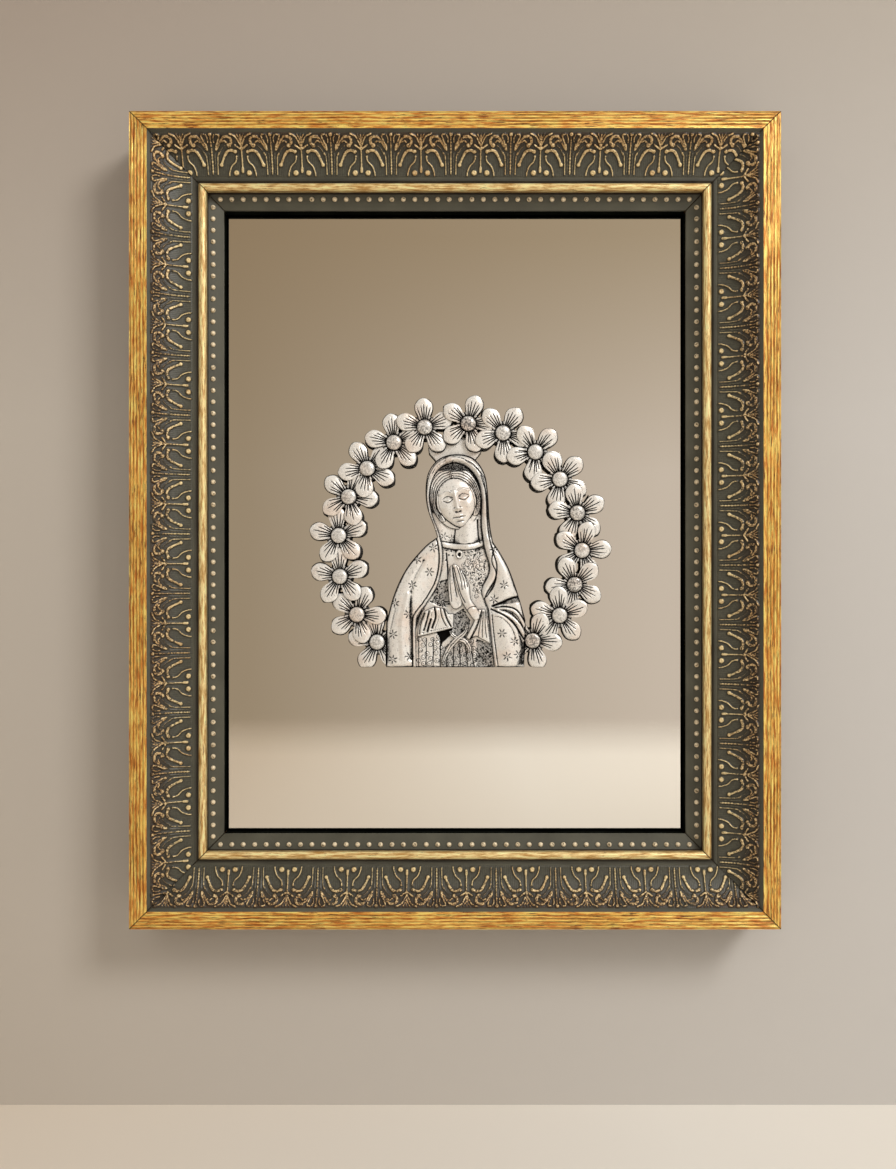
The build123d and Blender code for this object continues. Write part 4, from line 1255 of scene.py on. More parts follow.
def sculpt_gown(finish):
    """Neck, collar, lace bodice and skirt inside the mantle's opening."""
    opening = mantle_opening()
    cast = Relief(opening[opening[:, 1] < 73] * [1.03, 1.0], 0.33, 11.9)
    cast.ridge([(5.0, 74), (5.2, 57)], 12.5, 1.7, blend=True)
    cast.mound((3.5, 45), (13, 15), 0.8)
    cast.ridge([(-10, 75), (-7.5, 66), (-5.5, 58)], 7, 0.4, blend=True)
    cast.sprig((-5.4, 61.4), 1.7)
    cast.sprig((-1.9, 60.6), 1.4, 5, 0.4)
    cast.groove([(0.2, 68), (-0.4, 62), (-0.8, 58)], 0.8, 0.4, 0.9)
    cast.groove([(10.2, 69), (10.6, 62), (11.4, 58.2)], 1.0, 0.5, 1.0)
    collar = [(-6.5, 57.6), (-1, 56.6), (4, 56.2), (8.4, 56.7), (12.8, 58.2)]
    cast.ridge(collar, 2.7, 0.9)
    cast.groove(shifted(collar, 0, 1.5), 0.6, 0.3, 0.95)
    cast.groove(shifted(collar, 0, -1.4), 0.7, 0.35, 1.0)
    cast.dots(smooth_line(shifted(collar, 0, -2.4), 5)[::2], 0.55, 0.2, 1.0)
    bodice = [(4.2, 53.4), (12.6, 54), (15, 46.5), (12, 37), (9.4, 33), (8, 38), (3.2, 46)]
    cast.stipple(bodice, 130, 0.42, 0.12, 0.95, 31)
    cast.lace(bodice, 34, 1.15, 3)
    cast.dots([(-3.2, 52.6), (-1.4, 52.4), (-4.6, 50.2)], 0.6, 0.2, 1.0)
    chest = [(-7.2, 41), (-2.6, 42), (-2.2, 29), (-7.6, 28), (-12, 30.4), (-9.6, 36)]
    cast.step(chest, -0.5, 0.4, 0.8)
    cast.stipple(chest, 46, 0.5, 0.2, 1.0, 11)
    cast.lace([(-10, 33.5), (-5, 34.5), (-5, 30), (-10, 30)], 4, 1.2, 2, 0.9)
    cast.groove([(-4.4, 53.4), (-3.8, 47), (-3.4, 41)], 1.1, 0.6, 1.0)
    rhombus = [(-2.4, 24.4), (3.4, 28), (7.4, 22), (4.6, 13.4), (-1.4, 14)]
    cast.step(rhombus, -0.5, 0.4, 0.8)
    cast.stipple(rhombus, 60, 0.5, 0.2, 1.0, 5)
    cast.step([(-18.2, 14.6), (-8, 17.2), (-7, 17), (-7.2, 0.3), (-18.2, 0.3)], 0.35, 0.0, 0.8)
    cast.lace([(-17.6, 13.6), (-8, 16), (-8, 0.8), (-17.6, 0.8)], 22, 1.3, 8, 0.95)
    for x in (-17.4, -13.9, -10.6, -7.2):
        cast.groove([(x, 0.4), (x + 0.1, 13.6)], 0.7, 0.35, 0.95)
    cast.step([(-10, 17.4), (-1.2, 18.6), (-2, 15), (-6, 11.4), (-7, 8.6), (-7.8, 14)], -0.6, 1.0, 0.5)
    skirt = [(-7, 9.4), (0, 13), (9, 13), (9, 0.6), (-7, 0.6)]
    cast.step(skirt, 0.0, 0.3, 0.8)
    cast.lace(skirt, 32, 1.2, 21, 1.0)
    for x in (-4.4, -1.2, 2.2, 5.6, 8.6):
        cast.groove([(x, 0.4), (x * 0.8, 10.5)], 0.7, 0.35, 1.0)
    panel = [(9.4, 13.8), (16.6, 11.2), (17.8, 0.2), (9.4, 0.2)]
    cast.step(panel, -0.35, 0.45, 0.6)
    cast.stipple(panel, 70, 0.5, 0.2, 1.0, 17)
    cast.antique(0.9, rim=1.2)
    cast.build("gown_casting", PAD_TOP / MM + 0.2, finish, "gown")


# Middle of the head, and how far its chin leans to the viewer's right.
HEAD_MIDDLE = (0.0, 78.8)
HEAD_TILT = math.radians(11.0)


def sculpt_head(finish):
    """Head with a calm, plain face and centre-parted hair."""
    loop = tilted(on_circle(full_turn(90)) * [11.9, 15.3] + [0, 0.9], HEAD_MIDDLE, HEAD_TILT)
    loop[:, 1] = np.minimum(loop[:, 1], (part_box("head")[1].z - FOOT) / figure_unit())
    cast = Relief(loop, 0.21, 12.2, HEAD_MIDDLE, HEAD_TILT)
    side, rise = cast.local()
    scalp = 1 - (side / 12) ** 2 - ((rise - 0.9) / 15.4) ** 2
    cast.height += 1.7 * np.clip(scalp, 0, 1) ** 0.4
    width = 9.3 - 4.0 * np.clip((-2.5 - rise) / 10.5, 0, 1) ** 1.5
    form = 1 - (side / width) ** 2 - ((rise + 1.9) / 11.6) ** 2
    cast.height += 2.7 * np.clip(form, 0, 1) ** 0.45
    cast.blacken(0.95 * smoothstep(-np.abs(form), -0.085, 0.0))
    for hand in (-1, 1):
        eye = hand * 3.7
        cast.mound((eye, 0.6), (3.4, 2.7), -1.15)
        cast.mound((hand * 2.0, 0.5), (1.5, 2.0), -0.45)
        cast.mound((eye, -0.2), (2.5, 1.6), 1.0)
        cast.groove([(eye - 2.2, -0.2), (eye, -1.35), (eye + 2.2, -0.2)], 0.62, 0.4, 1.0)
        cast.groove([(eye - 2.3, 0.8), (eye, 1.7), (eye + 2.3, 0.6)], 0.45, 0.25, 0.85)
        cast.ridge([(hand * 1.5, 2.9), (hand * 3.8, 4.0), (hand * 6.6, 2.9)], 1.9, 0.45, blend=True)
        cast.groove([(hand * 1.7, 3.1), (hand * 3.9, 4.1), (hand * 6.3, 3.2)], 0.6, 0.06, 0.35)
        cast.mound((hand * 1.45, -5.2), (1.1, 1.0), 0.55)
        cast.mound((hand * 5.2, -3.6), (3.4, 3.2), 0.5)
        cast.groove([(hand * 1.3, -6.0), (hand * 0.55, -6.2)], 0.6, 0.3, 1.0)
        for strand in range(5):
            path = [(0, 10.3 + strand * 1.05), (hand * (3.6 + strand * 0.5), 9.2 + strand * 1.15)]
            path += [(hand * (7.2 + strand * 0.7), 6.0 + strand * 0.8), (hand * (8.9 + strand * 0.75), 1.4)]
            path += [(hand * (9.0 + strand * 0.8), -3.6), (hand * (7.4 + strand * 0.95), -8.8)]
            cast.ridge(path, 1.4, 0.7)
            cast.groove(shifted(path, hand * 0.5, 0.42), 0.62, 0.3, (1.0, 0.7)[strand % 2])
    cast.ridge([(0, 3.4), (0, -1), (0, -4.6)], 3.4, 0.95, blend=True)
    cast.mound((0, -5.0), (1.7, 1.5), 1.0)
    cast.groove([(-1.3, -6.6), (0, -6.5), (1.3, -6.6)], 0.8, 0.35, 0.8)
    cast.mound((0, -8.1), (2.9, 0.85), 0.5)
    cast.mound((0, -9.65), (2.3, 0.95), 0.65)
    cast.groove([(-2.8, -8.75), (-0.8, -8.7), (0, -8.9), (0.8, -8.7), (2.8, -8.75)], 0.55, 0.4, 1.0)
    cast.groove([(-1.5, -10.8), (1.5, -10.8)], 1.2, 0.25, 0.35)
    cast.mound((0, -12.0), (2.8, 1.7), 0.55)
    cast.groove([(0, 15.6), (0, 10.2)], 0.7, 0.4, 1.0)
    cast.antique(0.9, fine=0.18, broad_shade=1.3, rim=0.7)
    cast.build("head_casting", 11.7, finish, "head")


def sculpt_sleeves(finish):
    """Loosely folded sleeves on both sides of the hands."""
    left = [(-0.8, 25.2), (-3.4, 25.4), (-5, 27.6), (-10, 28.6), (-14.6, 26.4), (-17.6, 19), (-18, 14.2)]
    left += [(-9, 16.4), (-0.9, 18.4)]
    cast = Relief(left, 0.27, 13.9)
    folds = (
        [(-14.4, 25.4), (-16.4, 20), (-16.9, 15.6)],
        [(-12.4, 26.4), (-13.6, 21.6), (-14.9, 17.4)],
        [(-9.9, 28.0), (-9.4, 23.6), (-11.0, 18.6)],
        [(-7.4, 28.0), (-6.4, 23.4), (-4.6, 19.6)],
        [(-5.6, 27.4), (-4.2, 23.0), (-2.2, 19.2)],
        [(-11.6, 22.6), (-12.6, 19.4), (-13.2, 16.8)],
    )
    for number, fold in enumerate(folds):
        cast.groove(fold, 0.7 + 0.35 * (number % 3), 0.6, 1.0)
        cast.ridge(shifted(fold, 0.9), 1.3, 0.45, blend=True)
    cast.ridge([(-17.4, 14.9), (-9, 17.0), (-1.4, 18.9)], 1.1, 0.4)
    cast.soften_rim(1.5, 0.9)
    cast.antique(0.85)
    cast.build("left_sleeve_casting", 12.2, finish, "left_sleeve")
    right = [(13.8, 27.4), (10.6, 27.4), (8.0, 20.6), (4.6, 14.0), (6.4, 12.8), (9.4, 14.6)]
    right += [(16.2, 11.0), (15.2, 20)]
    cast = Relief(right, 0.27, 13.6)
    cast.ridge([(10.8, 26.4), (8.6, 20.2), (5.6, 13.9)], 2.1, 1.1)
    cast.groove([(12.1, 26.6), (10.2, 19.6), (7.4, 14.0)], 0.75, 0.6, 1.0)
    for foot, top in ((10.4, 12.4), (12.4, 13.0), (14.4, 13.7)):
        cast.groove([(top, 26), ((foot + top) / 2 - 0.3, 19), (foot, 14)], 0.6, 0.45, 0.85)
    cast.soften_rim(1.4, 0.8)
    cast.antique(0.85)
    cast.build("right_sleeve_casting", 12.2, finish, "right_sleeve")


def sculpt_hands(finish):
    """Two hands pressed together, the near one over the far one."""
    far = [(-2.9, 46.4), (-2.0, 47.6), (-0.6, 46.4), (1.4, 40), (3.4, 33), (2.6, 28.6), (-0.6, 27.2)]
    far += [(-2.8, 30), (-3.6, 36), (-3.6, 42)]
    near = [(-1.5, 47.6), (-0.6, 48.4), (0.8, 47.9), (3.2, 45.0), (5.4, 41.4), (6.6, 37.4), (7.2, 32)]
    near += [(10.2, 27.6), (11.2, 23.2), (8.8, 22.0), (5.8, 25.6), (3.4, 29.4), (1.0, 35.6), (-0.8, 42)]
    cast = Relief(smooth_line(far, 4, True), 0.24, 14.1)
    cast.groove([(-2.6, 46.0), (-2.7, 40), (-1.9, 31)], 0.6, 0.35, 0.95)
    cast.groove([(-1.6, 46.6), (-0.9, 41), (0.6, 33)], 0.7, 0.4, 1.0)
    cast.soften_rim(1.2, 1.0)
    cast.antique(0.85)
    cast.build("far_hand_casting", 12.2, finish, "praying_hands")
    cast = Relief(smooth_line(near, 4, True), 0.22, 15.0)
    cast.ridge([(3.4, 38), (5.4, 33), (7.6, 27)], 5.5, 0.7, blend=True)
    for start, end in (((0.4, 47.4), (3.0, 36.4)), ((1.7, 46.2), (4.4, 36.8)), ((3.1, 44.6), (5.6, 37.6))):
        middle = ((start[0] + end[0]) / 2 + 0.45, (start[1] + end[1]) / 2 + 0.1)
        cast.groove([start, middle, end], 0.55, 0.5, 1.0)
    cast.groove([(-0.9, 46.6), (0.6, 40.4), (2.4, 34.2), (4.4, 30.4)], 0.8, 0.5, 0.95)
    cast.groove([(5.0, 26.4), (6.8, 28.2), (9.2, 28.4)], 0.6, 0.4, 0.9)
    cast.soften_rim(1.2, 1.0)
    cast.antique(0.8)
    cast.build("near_hand_casting", 12.4, finish, "praying_hands")


def ribbon(points, half_width):
    """Outline of a flat ribbon along a line, narrower at its ends."""
    line = smooth_line(points, 8)
    slope = np.gradient(line, axis=0)
    normal = np.stack([-slope[:, 1], slope[:, 0]], -1) / np.hypot(*slope.T)[:, None]
    taper = half_width * (0.55 + 0.45 * np.sin(np.linspace(0, math.pi, len(line))))[:, None]
    return np.vstack([line + normal * taper, (line - normal * taper)[::-1]])


def sculpt_sash(finish):
    """Two twisted sash ribbons that cross below the hands."""
    routes = (
        [(-6.2, 1.2), (-5.0, 5.2), (-2.6, 9.6), (0.6, 13.2), (4.4, 16.6), (5.4, 20.4)],
        [(-2.6, 17.2), (-1.2, 15.0), (1.4, 13.4), (4.4, 12.2), (6.6, 8.4), (5.4, 4.4)],
    )
    for number, route in enumerate(routes):
        cast = Relief(ribbon(route, 1.2), 0.24, 13.7 - number * 0.3)
        cast.groove(route, 0.5, 0.35, 1.0)
        for place in smooth_line(route, 3)[1::3]:
            cast.groove([place + [-0.9, -0.5], place + [0.9, 0.5]], 0.4, 0.25, 1.0)
        cast.soften_rim(0.8, 0.7)
        cast.antique(0.9)
        cast.build(f"sash_ribbon_{number + 1}", 11.8, finish, "sash")


def sculpt_brooch(finish):
    """Small oval ring at the collar."""
    middle = np.array([1.7, 52.8])
    ring = on_circle(full_turn(28)) * [1.7, 2.1]
    cast = Relief(middle + ring, 0.2, 13.6)
    cast.mound(middle, (1.1, 1.6), -0.9)
    cast.soften_rim(0.5, 0.4)
    cast.antique(1.0, fine=0.1, rim=0.3)
    cast.blacken(cast.area(middle + ring * 0.5, 0.2))
    cast.build("brooch_casting", 12.2, finish, "brooch")


def sculpt_crown_plate(finish):
    """Smooth plate that joins the two top flowers to the veil."""
    loop = [(-8, 93), (-9.6, 97.0), (-12.6, 100.4), (-13, 103), (-6, 107.6), (4, 107.6), (12, 104)]
    loop += [(12, 100.8), (9.4, 97.6), (8.4, 93)]
    cast = Relief(loop, 0.5, 9.7)
    cast.mound((-1, 103), (9, 5), 0.4)
    cast.soften_rim(1.0, 0.6)
    cast.antique(0.6)
    cast.build("crown_plate_casting", PAD_TOP / MM, finish, "crown_plate")


# ---- wreath -----------------------------------------------------------------------------------------
# For each flower: its angle on the ring, how far it stands out from the ring in millimetres, and its turn.
FLOWERS = [(-53.2, -0.3, -4), (-35.8, 0.4, 21), (-19.6, -0.1, 42), (-3.1, 0.1, 4), (14.8, -0.3, 27)]
FLOWERS += [(33.0, -1.4, 44), (50.8, -1.5, 48), (69.0, -1.4, 56), (86.3, -0.6, 72), (107.1, 0.1, 93)]
FLOWERS += [(123.4, -0.3, 97), (141.2, -0.9, 118), (157.3, -0.2, 140), (176.3, 0.2, 95)]
FLOWERS += [(195.3, 1.6, 94), (214.5, 1.8, 141), (229.8, 3.5, 95)]


def flower_places(casting):
    """Middle of each flower on the glass."""
    angle, out, _ = np.array(FLOWERS).T
    return wreath_middle(casting) + (casting.wreath_radius + out * MM)[:, None] * on_circle(np.radians(angle))


def flower_axes(casting, places, index):
    """Origin, sideways, upward and outward directions of a flower, tipped to lap over the next one."""
    ahead = min(index + 1, len(places) - 1)
    step = places[ahead] - places[ahead - 1]
    span = np.hypot(*step)
    slope = casting.shingle / span
    normal = np.array([-slope * step[0] / span, -1.0, -slope * step[1] / span])
    normal /= np.linalg.norm(normal)
    sideways = np.array([1.0, 0, 0]) - normal * normal[0]
    sideways /= np.linalg.norm(sideways)
    origin = np.array([places[index][0], -(GLASS + casting.flower_lift), places[index][1]])
    return origin, sideways, np.cross(normal, sideways), normal


def ray_reach(middle, directions, loop, gap):
    """How far each ray from the middle gets before it is this gap short of a closed outline."""
    reach = np.full(len(directions), np.inf)
    for a, b in zip(loop, np.roll(loop, -1, 0)):
        edge = b - a
        cross = directions[:, 0] * edge[1] - directions[:, 1] * edge[0]
        start = a - middle
        with np.errstate(divide="ignore", invalid="ignore"):
            far = (start[0] * edge[1] - start[1] * edge[0]) / cross
            along = (start[0] * directions[:, 1] - start[1] * directions[:, 0]) / cross
        hit = (far > 0) & (along >= 0) & (along <= 1)
        reach = np.where(hit, np.minimum(reach, far - gap), reach)
    return reach


def petal_outline(casting, bearing):
    """Reach of the petals in each direction, measured from a petal's own axis."""
    collar, steps = 1.9 * MM, 160
    root = casting.boss_radius / 2
    radius = np.linspace(casting.petal_reach, casting.boss_radius, steps)[:, None]
    along = (radius * np.cos(bearing) - root) / (casting.petal_reach - root)
    share = np.clip(along, 0, 1) ** 1.5
    half = casting.petal_half_width * np.sin(math.pi * share) ** 0.6
    within = (radius * np.abs(np.sin(bearing)) <= half) & (along <= 1)
    reach = np.where(within.any(0), radius[:, 0][within.argmax(0)], 0)
    return np.maximum(reach, casting.boss_radius + collar)


def flower_edge(index, casting, places, mantle, directions, bearing):
    """Reach of a flower in each direction, cut back where the next boss or the figure covers it."""
    boss_gap, figure_gap, every = 0.35 * MM, 0.15 * MM, 12
    edge = petal_outline(casting, bearing)
    if index + 1 < len(places):
        boss = places[index + 1] + (casting.boss_radius + boss_gap) * directions[::every]
        edge = np.minimum(edge, ray_reach(places[index], directions, boss, 0))
    if index < 2 or index > len(places) - 3:
        edge = np.minimum(edge, ray_reach(places[index], directions, mantle, figure_gap))
        down = np.maximum(-directions[:, 1], 1e-9)
        edge = np.minimum(edge, np.where(directions[:, 1] < 0, (places[index][1] - FOOT) / down, np.inf))
    return edge


def petal_relief(casting, share, radius, bearing, seed):
    """Lift above a flower's underside and patina, with painted shade at the rims and near the boss: domed
    petals, incised lines and a ring about the boss.
    """
    sector = math.tau / casting.petals
    along, beside = radius * np.cos(bearing), radius * np.sin(bearing)
    crown = np.clip(1 - (beside / casting.petal_half_width) ** 2, 0, 1)
    lift = casting.plate + 0.85 * MM * crown * smoothstep(along, 3 * MM, 9 * MM)
    lift -= 0.35 * MM * smoothstep(along, 10 * MM, casting.petal_reach)
    lift -= 0.6 * MM * (1 - np.sqrt(1 - np.clip((share - 0.9) / 0.1, 0, 1) ** 2 * 0.98))
    # Painted shade: a dark line along the rim where petals lap, and darker towards the boss.
    rim_shade = 0.65 * smoothstep(share, 0.965, 1.0)
    patina = np.maximum(rim_shade, 0.3 * smoothstep(-radius, -7.5 * MM, -4.5 * MM))

    def cut(amount, depth):
        nonlocal patina
        lift[:] -= depth * amount
        patina = np.maximum(patina, amount)

    beside_ring = np.abs(radius - casting.boss_radius - 0.1 * MM)
    cut(smoothstep(-beside_ring, -0.55 * MM, -0.2 * MM), 0.4 * MM)
    valley = smoothstep((np.abs(bearing) - sector / 2) * radius, -0.55 * MM, -0.1 * MM)
    cut(valley * smoothstep(-radius, -9.6 * MM, -8.0 * MM), 0.35 * MM)
    random = np.random.default_rng(seed)
    for line in range(-2, 3):
        tilt = math.radians(line * 9.5 + random.uniform(-2, 2))
        end = (11.6 - abs(line) * 1.1 + random.uniform(-0.8, 0.8)) * MM
        gap = np.abs(radius * np.sin(bearing - tilt))
        half = 0.5 * MM * np.clip(1.15 - radius / end * 0.7, 0.1, 1)
        cut(smoothstep(-gap / half, -1.0, -0.35) * smoothstep(-radius, -end, -end + 1.0 * MM), 0.3 * MM)
    return lift, np.clip(patina, 0, 1)


def build_flower(index, casting, places, mantle, finish):
    """One flower with its walls down to the pads; gives back the outline of its foot."""
    origin, sideways, upward, normal = flower_axes(casting, places, index)
    plane = np.stack([sideways, upward])
    spokes, splay, lip_drop = 400, 0.7 * MM, 0.25 * MM
    angle = full_turn(spokes)
    directions = on_circle(angle)
    sector = math.tau / casting.petals
    bearing = (angle - math.radians(FLOWERS[index][2]) + sector / 2) % sector - sector / 2
    share = np.array([0.0, *np.linspace(0.16, 0.88, 22), 0.92, 0.95, 0.97, 0.985, 1.0])[:, None]
    radius = share * flower_edge(index, casting, places, mantle, directions, bearing)
    lift, patina = petal_relief(casting, share, radius, bearing, 100 + index)
    front = origin + radius[..., None] * (directions @ plane) + lift[..., None] * normal
    rim = front[-1]
    node = f"flower_{index + 1:02d}"
    low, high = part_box(node)
    foot = rim + splay * directions @ plane
    foot = np.clip(foot, [low.x, 0, max(low.z, FOOT)], [high.x, 0, high.z]) - [0, PAD_TOP, 0]
    heart = np.broadcast_to(foot.mean(0), foot.shape)
    rows = [*front, rim - normal * lip_drop, foot, heart]
    # Walls and foot are black: patina, and painted shade under the petals.
    patina_and_wall_shade = np.append(patina, np.ones(3 * spokes))
    mesh = new_mesh("flower", rows, grid_faces(len(rows), spokes, closed=True), patina=patina_and_wall_shade)
    settle(f"wreath_{node}", mesh, [node], finish, 55)
    merge_points(mesh)
    return foot


def build_foam(outlines, finish):
    """Dark foam cut to the outline of each flower, between its walls and the glass, also a dark sheet that
    stands for the shade under the flowers.
    """
    shrink, every = 0.99, 4
    low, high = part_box("adhesive_pads")
    loops, faces = [], []
    for outline in outlines:
        heart = outline.mean(0)
        ring = heart + (outline[::every] - heart) * shrink
        ring = np.clip(ring, [low.x, -1, low.z], [high.x, 0, high.z])
        middle = np.broadcast_to(heart, ring.shape)
        faces.append(grid_faces(4, len(ring), closed=True) + len(loops) * len(ring))
        for loop, height in ((middle, PAD_TOP), (ring, PAD_TOP), (ring, GLASS), (middle, GLASS)):
            loops.append(loop * [1, 0, 1] - [0, height, 0])
    # The dark foam fills the gap under each flower, as foam and as painted shade.
    mesh = new_mesh("foam", loops, np.vstack(faces))
    settle("wreath_foam", mesh, [], finish, 40)
    merge_points(mesh)


def boss_blank(casting):
    """One domed boss, standing on Z = 0."""
    spokes = 40
    profile = [(0.0, 1.0), (0.22, 0.99), (0.45, 0.93), (0.65, 0.82), (0.8, 0.67), (0.9, 0.5), (0.96, 0.33)]
    profile += [(1.0, 0.12), (1.0, -0.35), (0.0, -0.35)]
    reach, rise = np.array(profile).T
    ring = casting.boss_radius * np.multiply.outer(reach, on_circle(full_turn(spokes)))
    height = np.broadcast_to(casting.boss_height * rise[:, None, None], (*ring.shape[:2], 1))
    faces = grid_faces(len(profile), spokes, closed=True)[:, ::-1]
    patina = np.repeat(np.select([rise < 0.0, rise < 0.4], [0.9, 0.45]), spokes)
    mesh = new_mesh("boss", np.concatenate([ring, height], -1), faces, patina=patina)
    merge_points(mesh)
    return mesh


# ---- operators --------------------------------------------------------------------------------------
class MIRROR_OT_stage(bpy.types.Operator):
    """Make the wall, the floor, the lamps, the world and the camera."""

    bl_idname = "mirror.stage"
    bl_label = "Stage"

    def execute(self, context):
        stage = context.scene.mirror_stage
        self.backdrop(stage)
        self.floor(stage)
        self.lamps()
        self.world(context)
        self.camera(context, stage)
        return {"FINISHED"}

    def backdrop(self, stage):
        """Plain painted wall with painted shade, darker away from the window and towards the top, and open
        from behind.
        """
        finish = Finish.named("wall_paint")
        parts = finish.parts(finish.place())
        # Painted shade: the wall darkens to the left and towards the top.
        beside = finish.between(parts["X"], -0.24, 0.24)
        low = finish.mix(beside, srgb(190, 180, 167), stage.wall_colour)
        high = finish.mix(beside, srgb(166, 152, 139), srgb(178, 169, 158))
        tone = finish.over(low, high, parts["Z"], 0.05, 0.26)
        behind = finish.node("NewGeometry")["Backfacing"]
        shadow = finish.node("LightPath")["Is Shadow Ray"]
        side, foot = STAGE_REACH, stage.floor_z
        corners = [(-side, WALL, foot), (side, WALL, foot), (side, WALL, side), (-side, WALL, side)]
        self.plane("wall", corners, finish, tone, behind, shadow).visible_glossy = False

    def floor(self, stage):
        """Plain pale floor, with painted shade to the left, that fades out far in front of the wall."""
        finish = Finish.named("floor_paint")
        parts = finish.parts(finish.place())
        # Painted shade: the floor is darker to the left.
        tone = finish.over(srgb(208, 193, 174), stage.floor_colour, parts["X"], -0.3, 0.1)
        front, side, level = -stage.floor_depth, STAGE_REACH, stage.floor_z
        fade = finish.between(parts["Y"], front, front * 0.72, 1.0, 0.0)
        corners = [(-side, front, level), (side, front, level), (side, WALL, level), (-side, WALL, level)]
        self.plane("floor", corners, finish, tone, fade)

    def plane(self, name, corners, finish, tone, *gaps):
        """One flat stage piece in this tone, left out where one of the gaps is 1."""
        shader = finish.node("BsdfDiffuse", {"Color": tone})[0]
        clear = finish.node("BsdfTransparent")[0]
        for gap in gaps:
            shader = finish.node("MixShader", {0: gap, 1: shader, 2: clear})[0]
        finish.node("OutputMaterial", {"Surface": shader})
        piece = show(name, new_mesh(name, corners, [(0, 1, 2, 3)]))
        piece.data.materials.append(finish.owner)
        return piece

    def lamps(self):
        """Soft key from the right, weak fill from the front and a lamp for the back."""
        places = (
            ("key_lamp", (1.0, -1.2, 1.0), 0.55, 17.0),
            ("fill_lamp", (-0.25, -1.9, 0.75), 0.9, 5.0),
            ("rear_lamp", (-0.5, 1.3, 0.7), 1.0, 9.0),
        )
        for name, place, size, power in places:
            light = bpy.data.lights.new(name, "AREA")
            light.size = size
            light.energy = power
            lamp = show(name, light)
            lamp.location = place
            lamp.rotation_euler = (-Vector(place)).to_track_quat("-Z", "Y").to_euler()
            lamp.visible_glossy = name == "key_lamp"

    def world(self, context):
        """Soft pale room, with the beige wall opposite that the mirror shows."""
        context.scene.world = bpy.data.worlds.new("room")
        finish = Finish(context.scene.world)
        parts = finish.parts(finish.node("TexCoord")["Generated"])
        sideways = finish.between(parts["X"], -0.18, 0.19)
        level = finish.mix(sideways, srgb(158, 142, 120), srgb(206, 193, 179))
        upper = finish.mix(sideways, srgb(149, 130, 105), srgb(170, 153, 129))
        room = finish.over(level, upper, parts["Z"], 0.1, 0.3)
        room = finish.over(srgb(206, 198, 187), room, parts["Y"], -0.55, -0.85)
        paths = finish.node("LightPath")
        seen = finish.math("MAXIMUM", paths["Is Camera Ray"], paths["Is Glossy Ray"])
        seen = finish.math("MAXIMUM", seen, paths["Is Transmission Ray"])
        sockets = {"Color": finish.mix(seen, srgb(178, 174, 168), room), "Strength": 1.0}
        finish.node("OutputWorld", {"Surface": finish.node("Background", sockets)[0]})

    def camera(self, context, stage):
        """Camera square to the wall, a little below the frame's middle."""
        data = bpy.data.cameras.new("camera")
        data.sensor_width = 36.0
        data.lens = stage.lens
        camera = show("camera", data)
        camera.location = (stage.camera_x, -(CREST + stage.distance), stage.camera_z)
        camera.rotation_euler = (math.pi / 2, 0, 0)
        context.scene.camera = camera
        context.scene.view_settings.view_transform = "Standard"


class MIRROR_OT_rails(bpy.types.Operator):
    """Make the four mitred rails with their band, cove, bead and flat."""

    bl_idname = "mirror.rails"
    bl_label = "Rails"

    def execute(self, context):
        moulding = context.scene.moulding
        ground = tuple(moulding.ground)
        finishes = [
            paint_finish("side_paint", srgb(74, 52, 30), srgb(48, 34, 20)),
            gilt_finish("gilt_band", tuple(moulding.gilt), tuple(moulding.gilt_worn), 0.07),
            paint_finish("cove_paint", ground, darkened(ground, 0.7)),
            # Dark groove finish: a painted shadow in the groove and on the bead's side wall.
            paint_finish("groove_shadow_paint", srgb(52, 38, 22), srgb(36, 27, 17)),
            gilt_finish("gilt_bead", tuple(moulding.bead_gold), srgb(186, 140, 76), 0.03),
            paint_finish("lip_paint", srgb(24, 26, 23), srgb(16, 17, 15), 0.0),
        ]
        for side in SIDES:
            axis = 0 if side in ("top", "bottom") else 2
            bare = wood_finish(f"bare_wood_{side}", srgb(206, 172, 124), srgb(172, 132, 84), axis)
            build_rail(side, moulding, [*finishes, bare])
        return {"FINISHED"}


class MIRROR_OT_ornament(bpy.types.Operator):
    """Press the ornament into the coves and set the rows of pearls."""

    bl_idname = "mirror.ornament"
    bl_label = "Ornament and pearls"

    def execute(self, context):
        moulding = context.scene.moulding
        ornament = context.scene.ornament
        gilding = ornament_finish(ornament, tuple(moulding.ground))
        paint = pearl_finish(ornament)
        tree = row_tree()
        tile = ornament_tile(moulding, ornament)
        pearl = pearl_blank(moulding, ornament)
        seat = Section(moulding).flat_point(ornament.pearl_inset)[0]
        period, pitch = ornament.period, ornament.pearl_pitch
        for side in SIDES:
            half = half_length(side)
            start = ORNAMENT_START[side]
            before, after = (math.ceil(reach / period) for reach in (half + start, half - start))
            first, count = start - before * period, before + after + 1
            run = tree.grow(tile.copy(), First=first, Pitch=period, Count=count, Finish=gilding)
            lay_on_rail(side, run, mitred=True)
            settle(f"pressed_ornament_{side}", run, [f"{side}_ornament"])
            count = int((2 * half - 2 * seat - 4 * ornament.pearl_radius) / pitch) + 1
            first = -(count - 1) / 2 * pitch
            row = tree.grow(pearl.copy(), First=first, Pitch=pitch, Count=count, Finish=paint)
            lay_on_rail(side, row)
            settle(f"pearl_row_{side}", row, [f"{side}_pearls"])
        return {"FINISHED"}


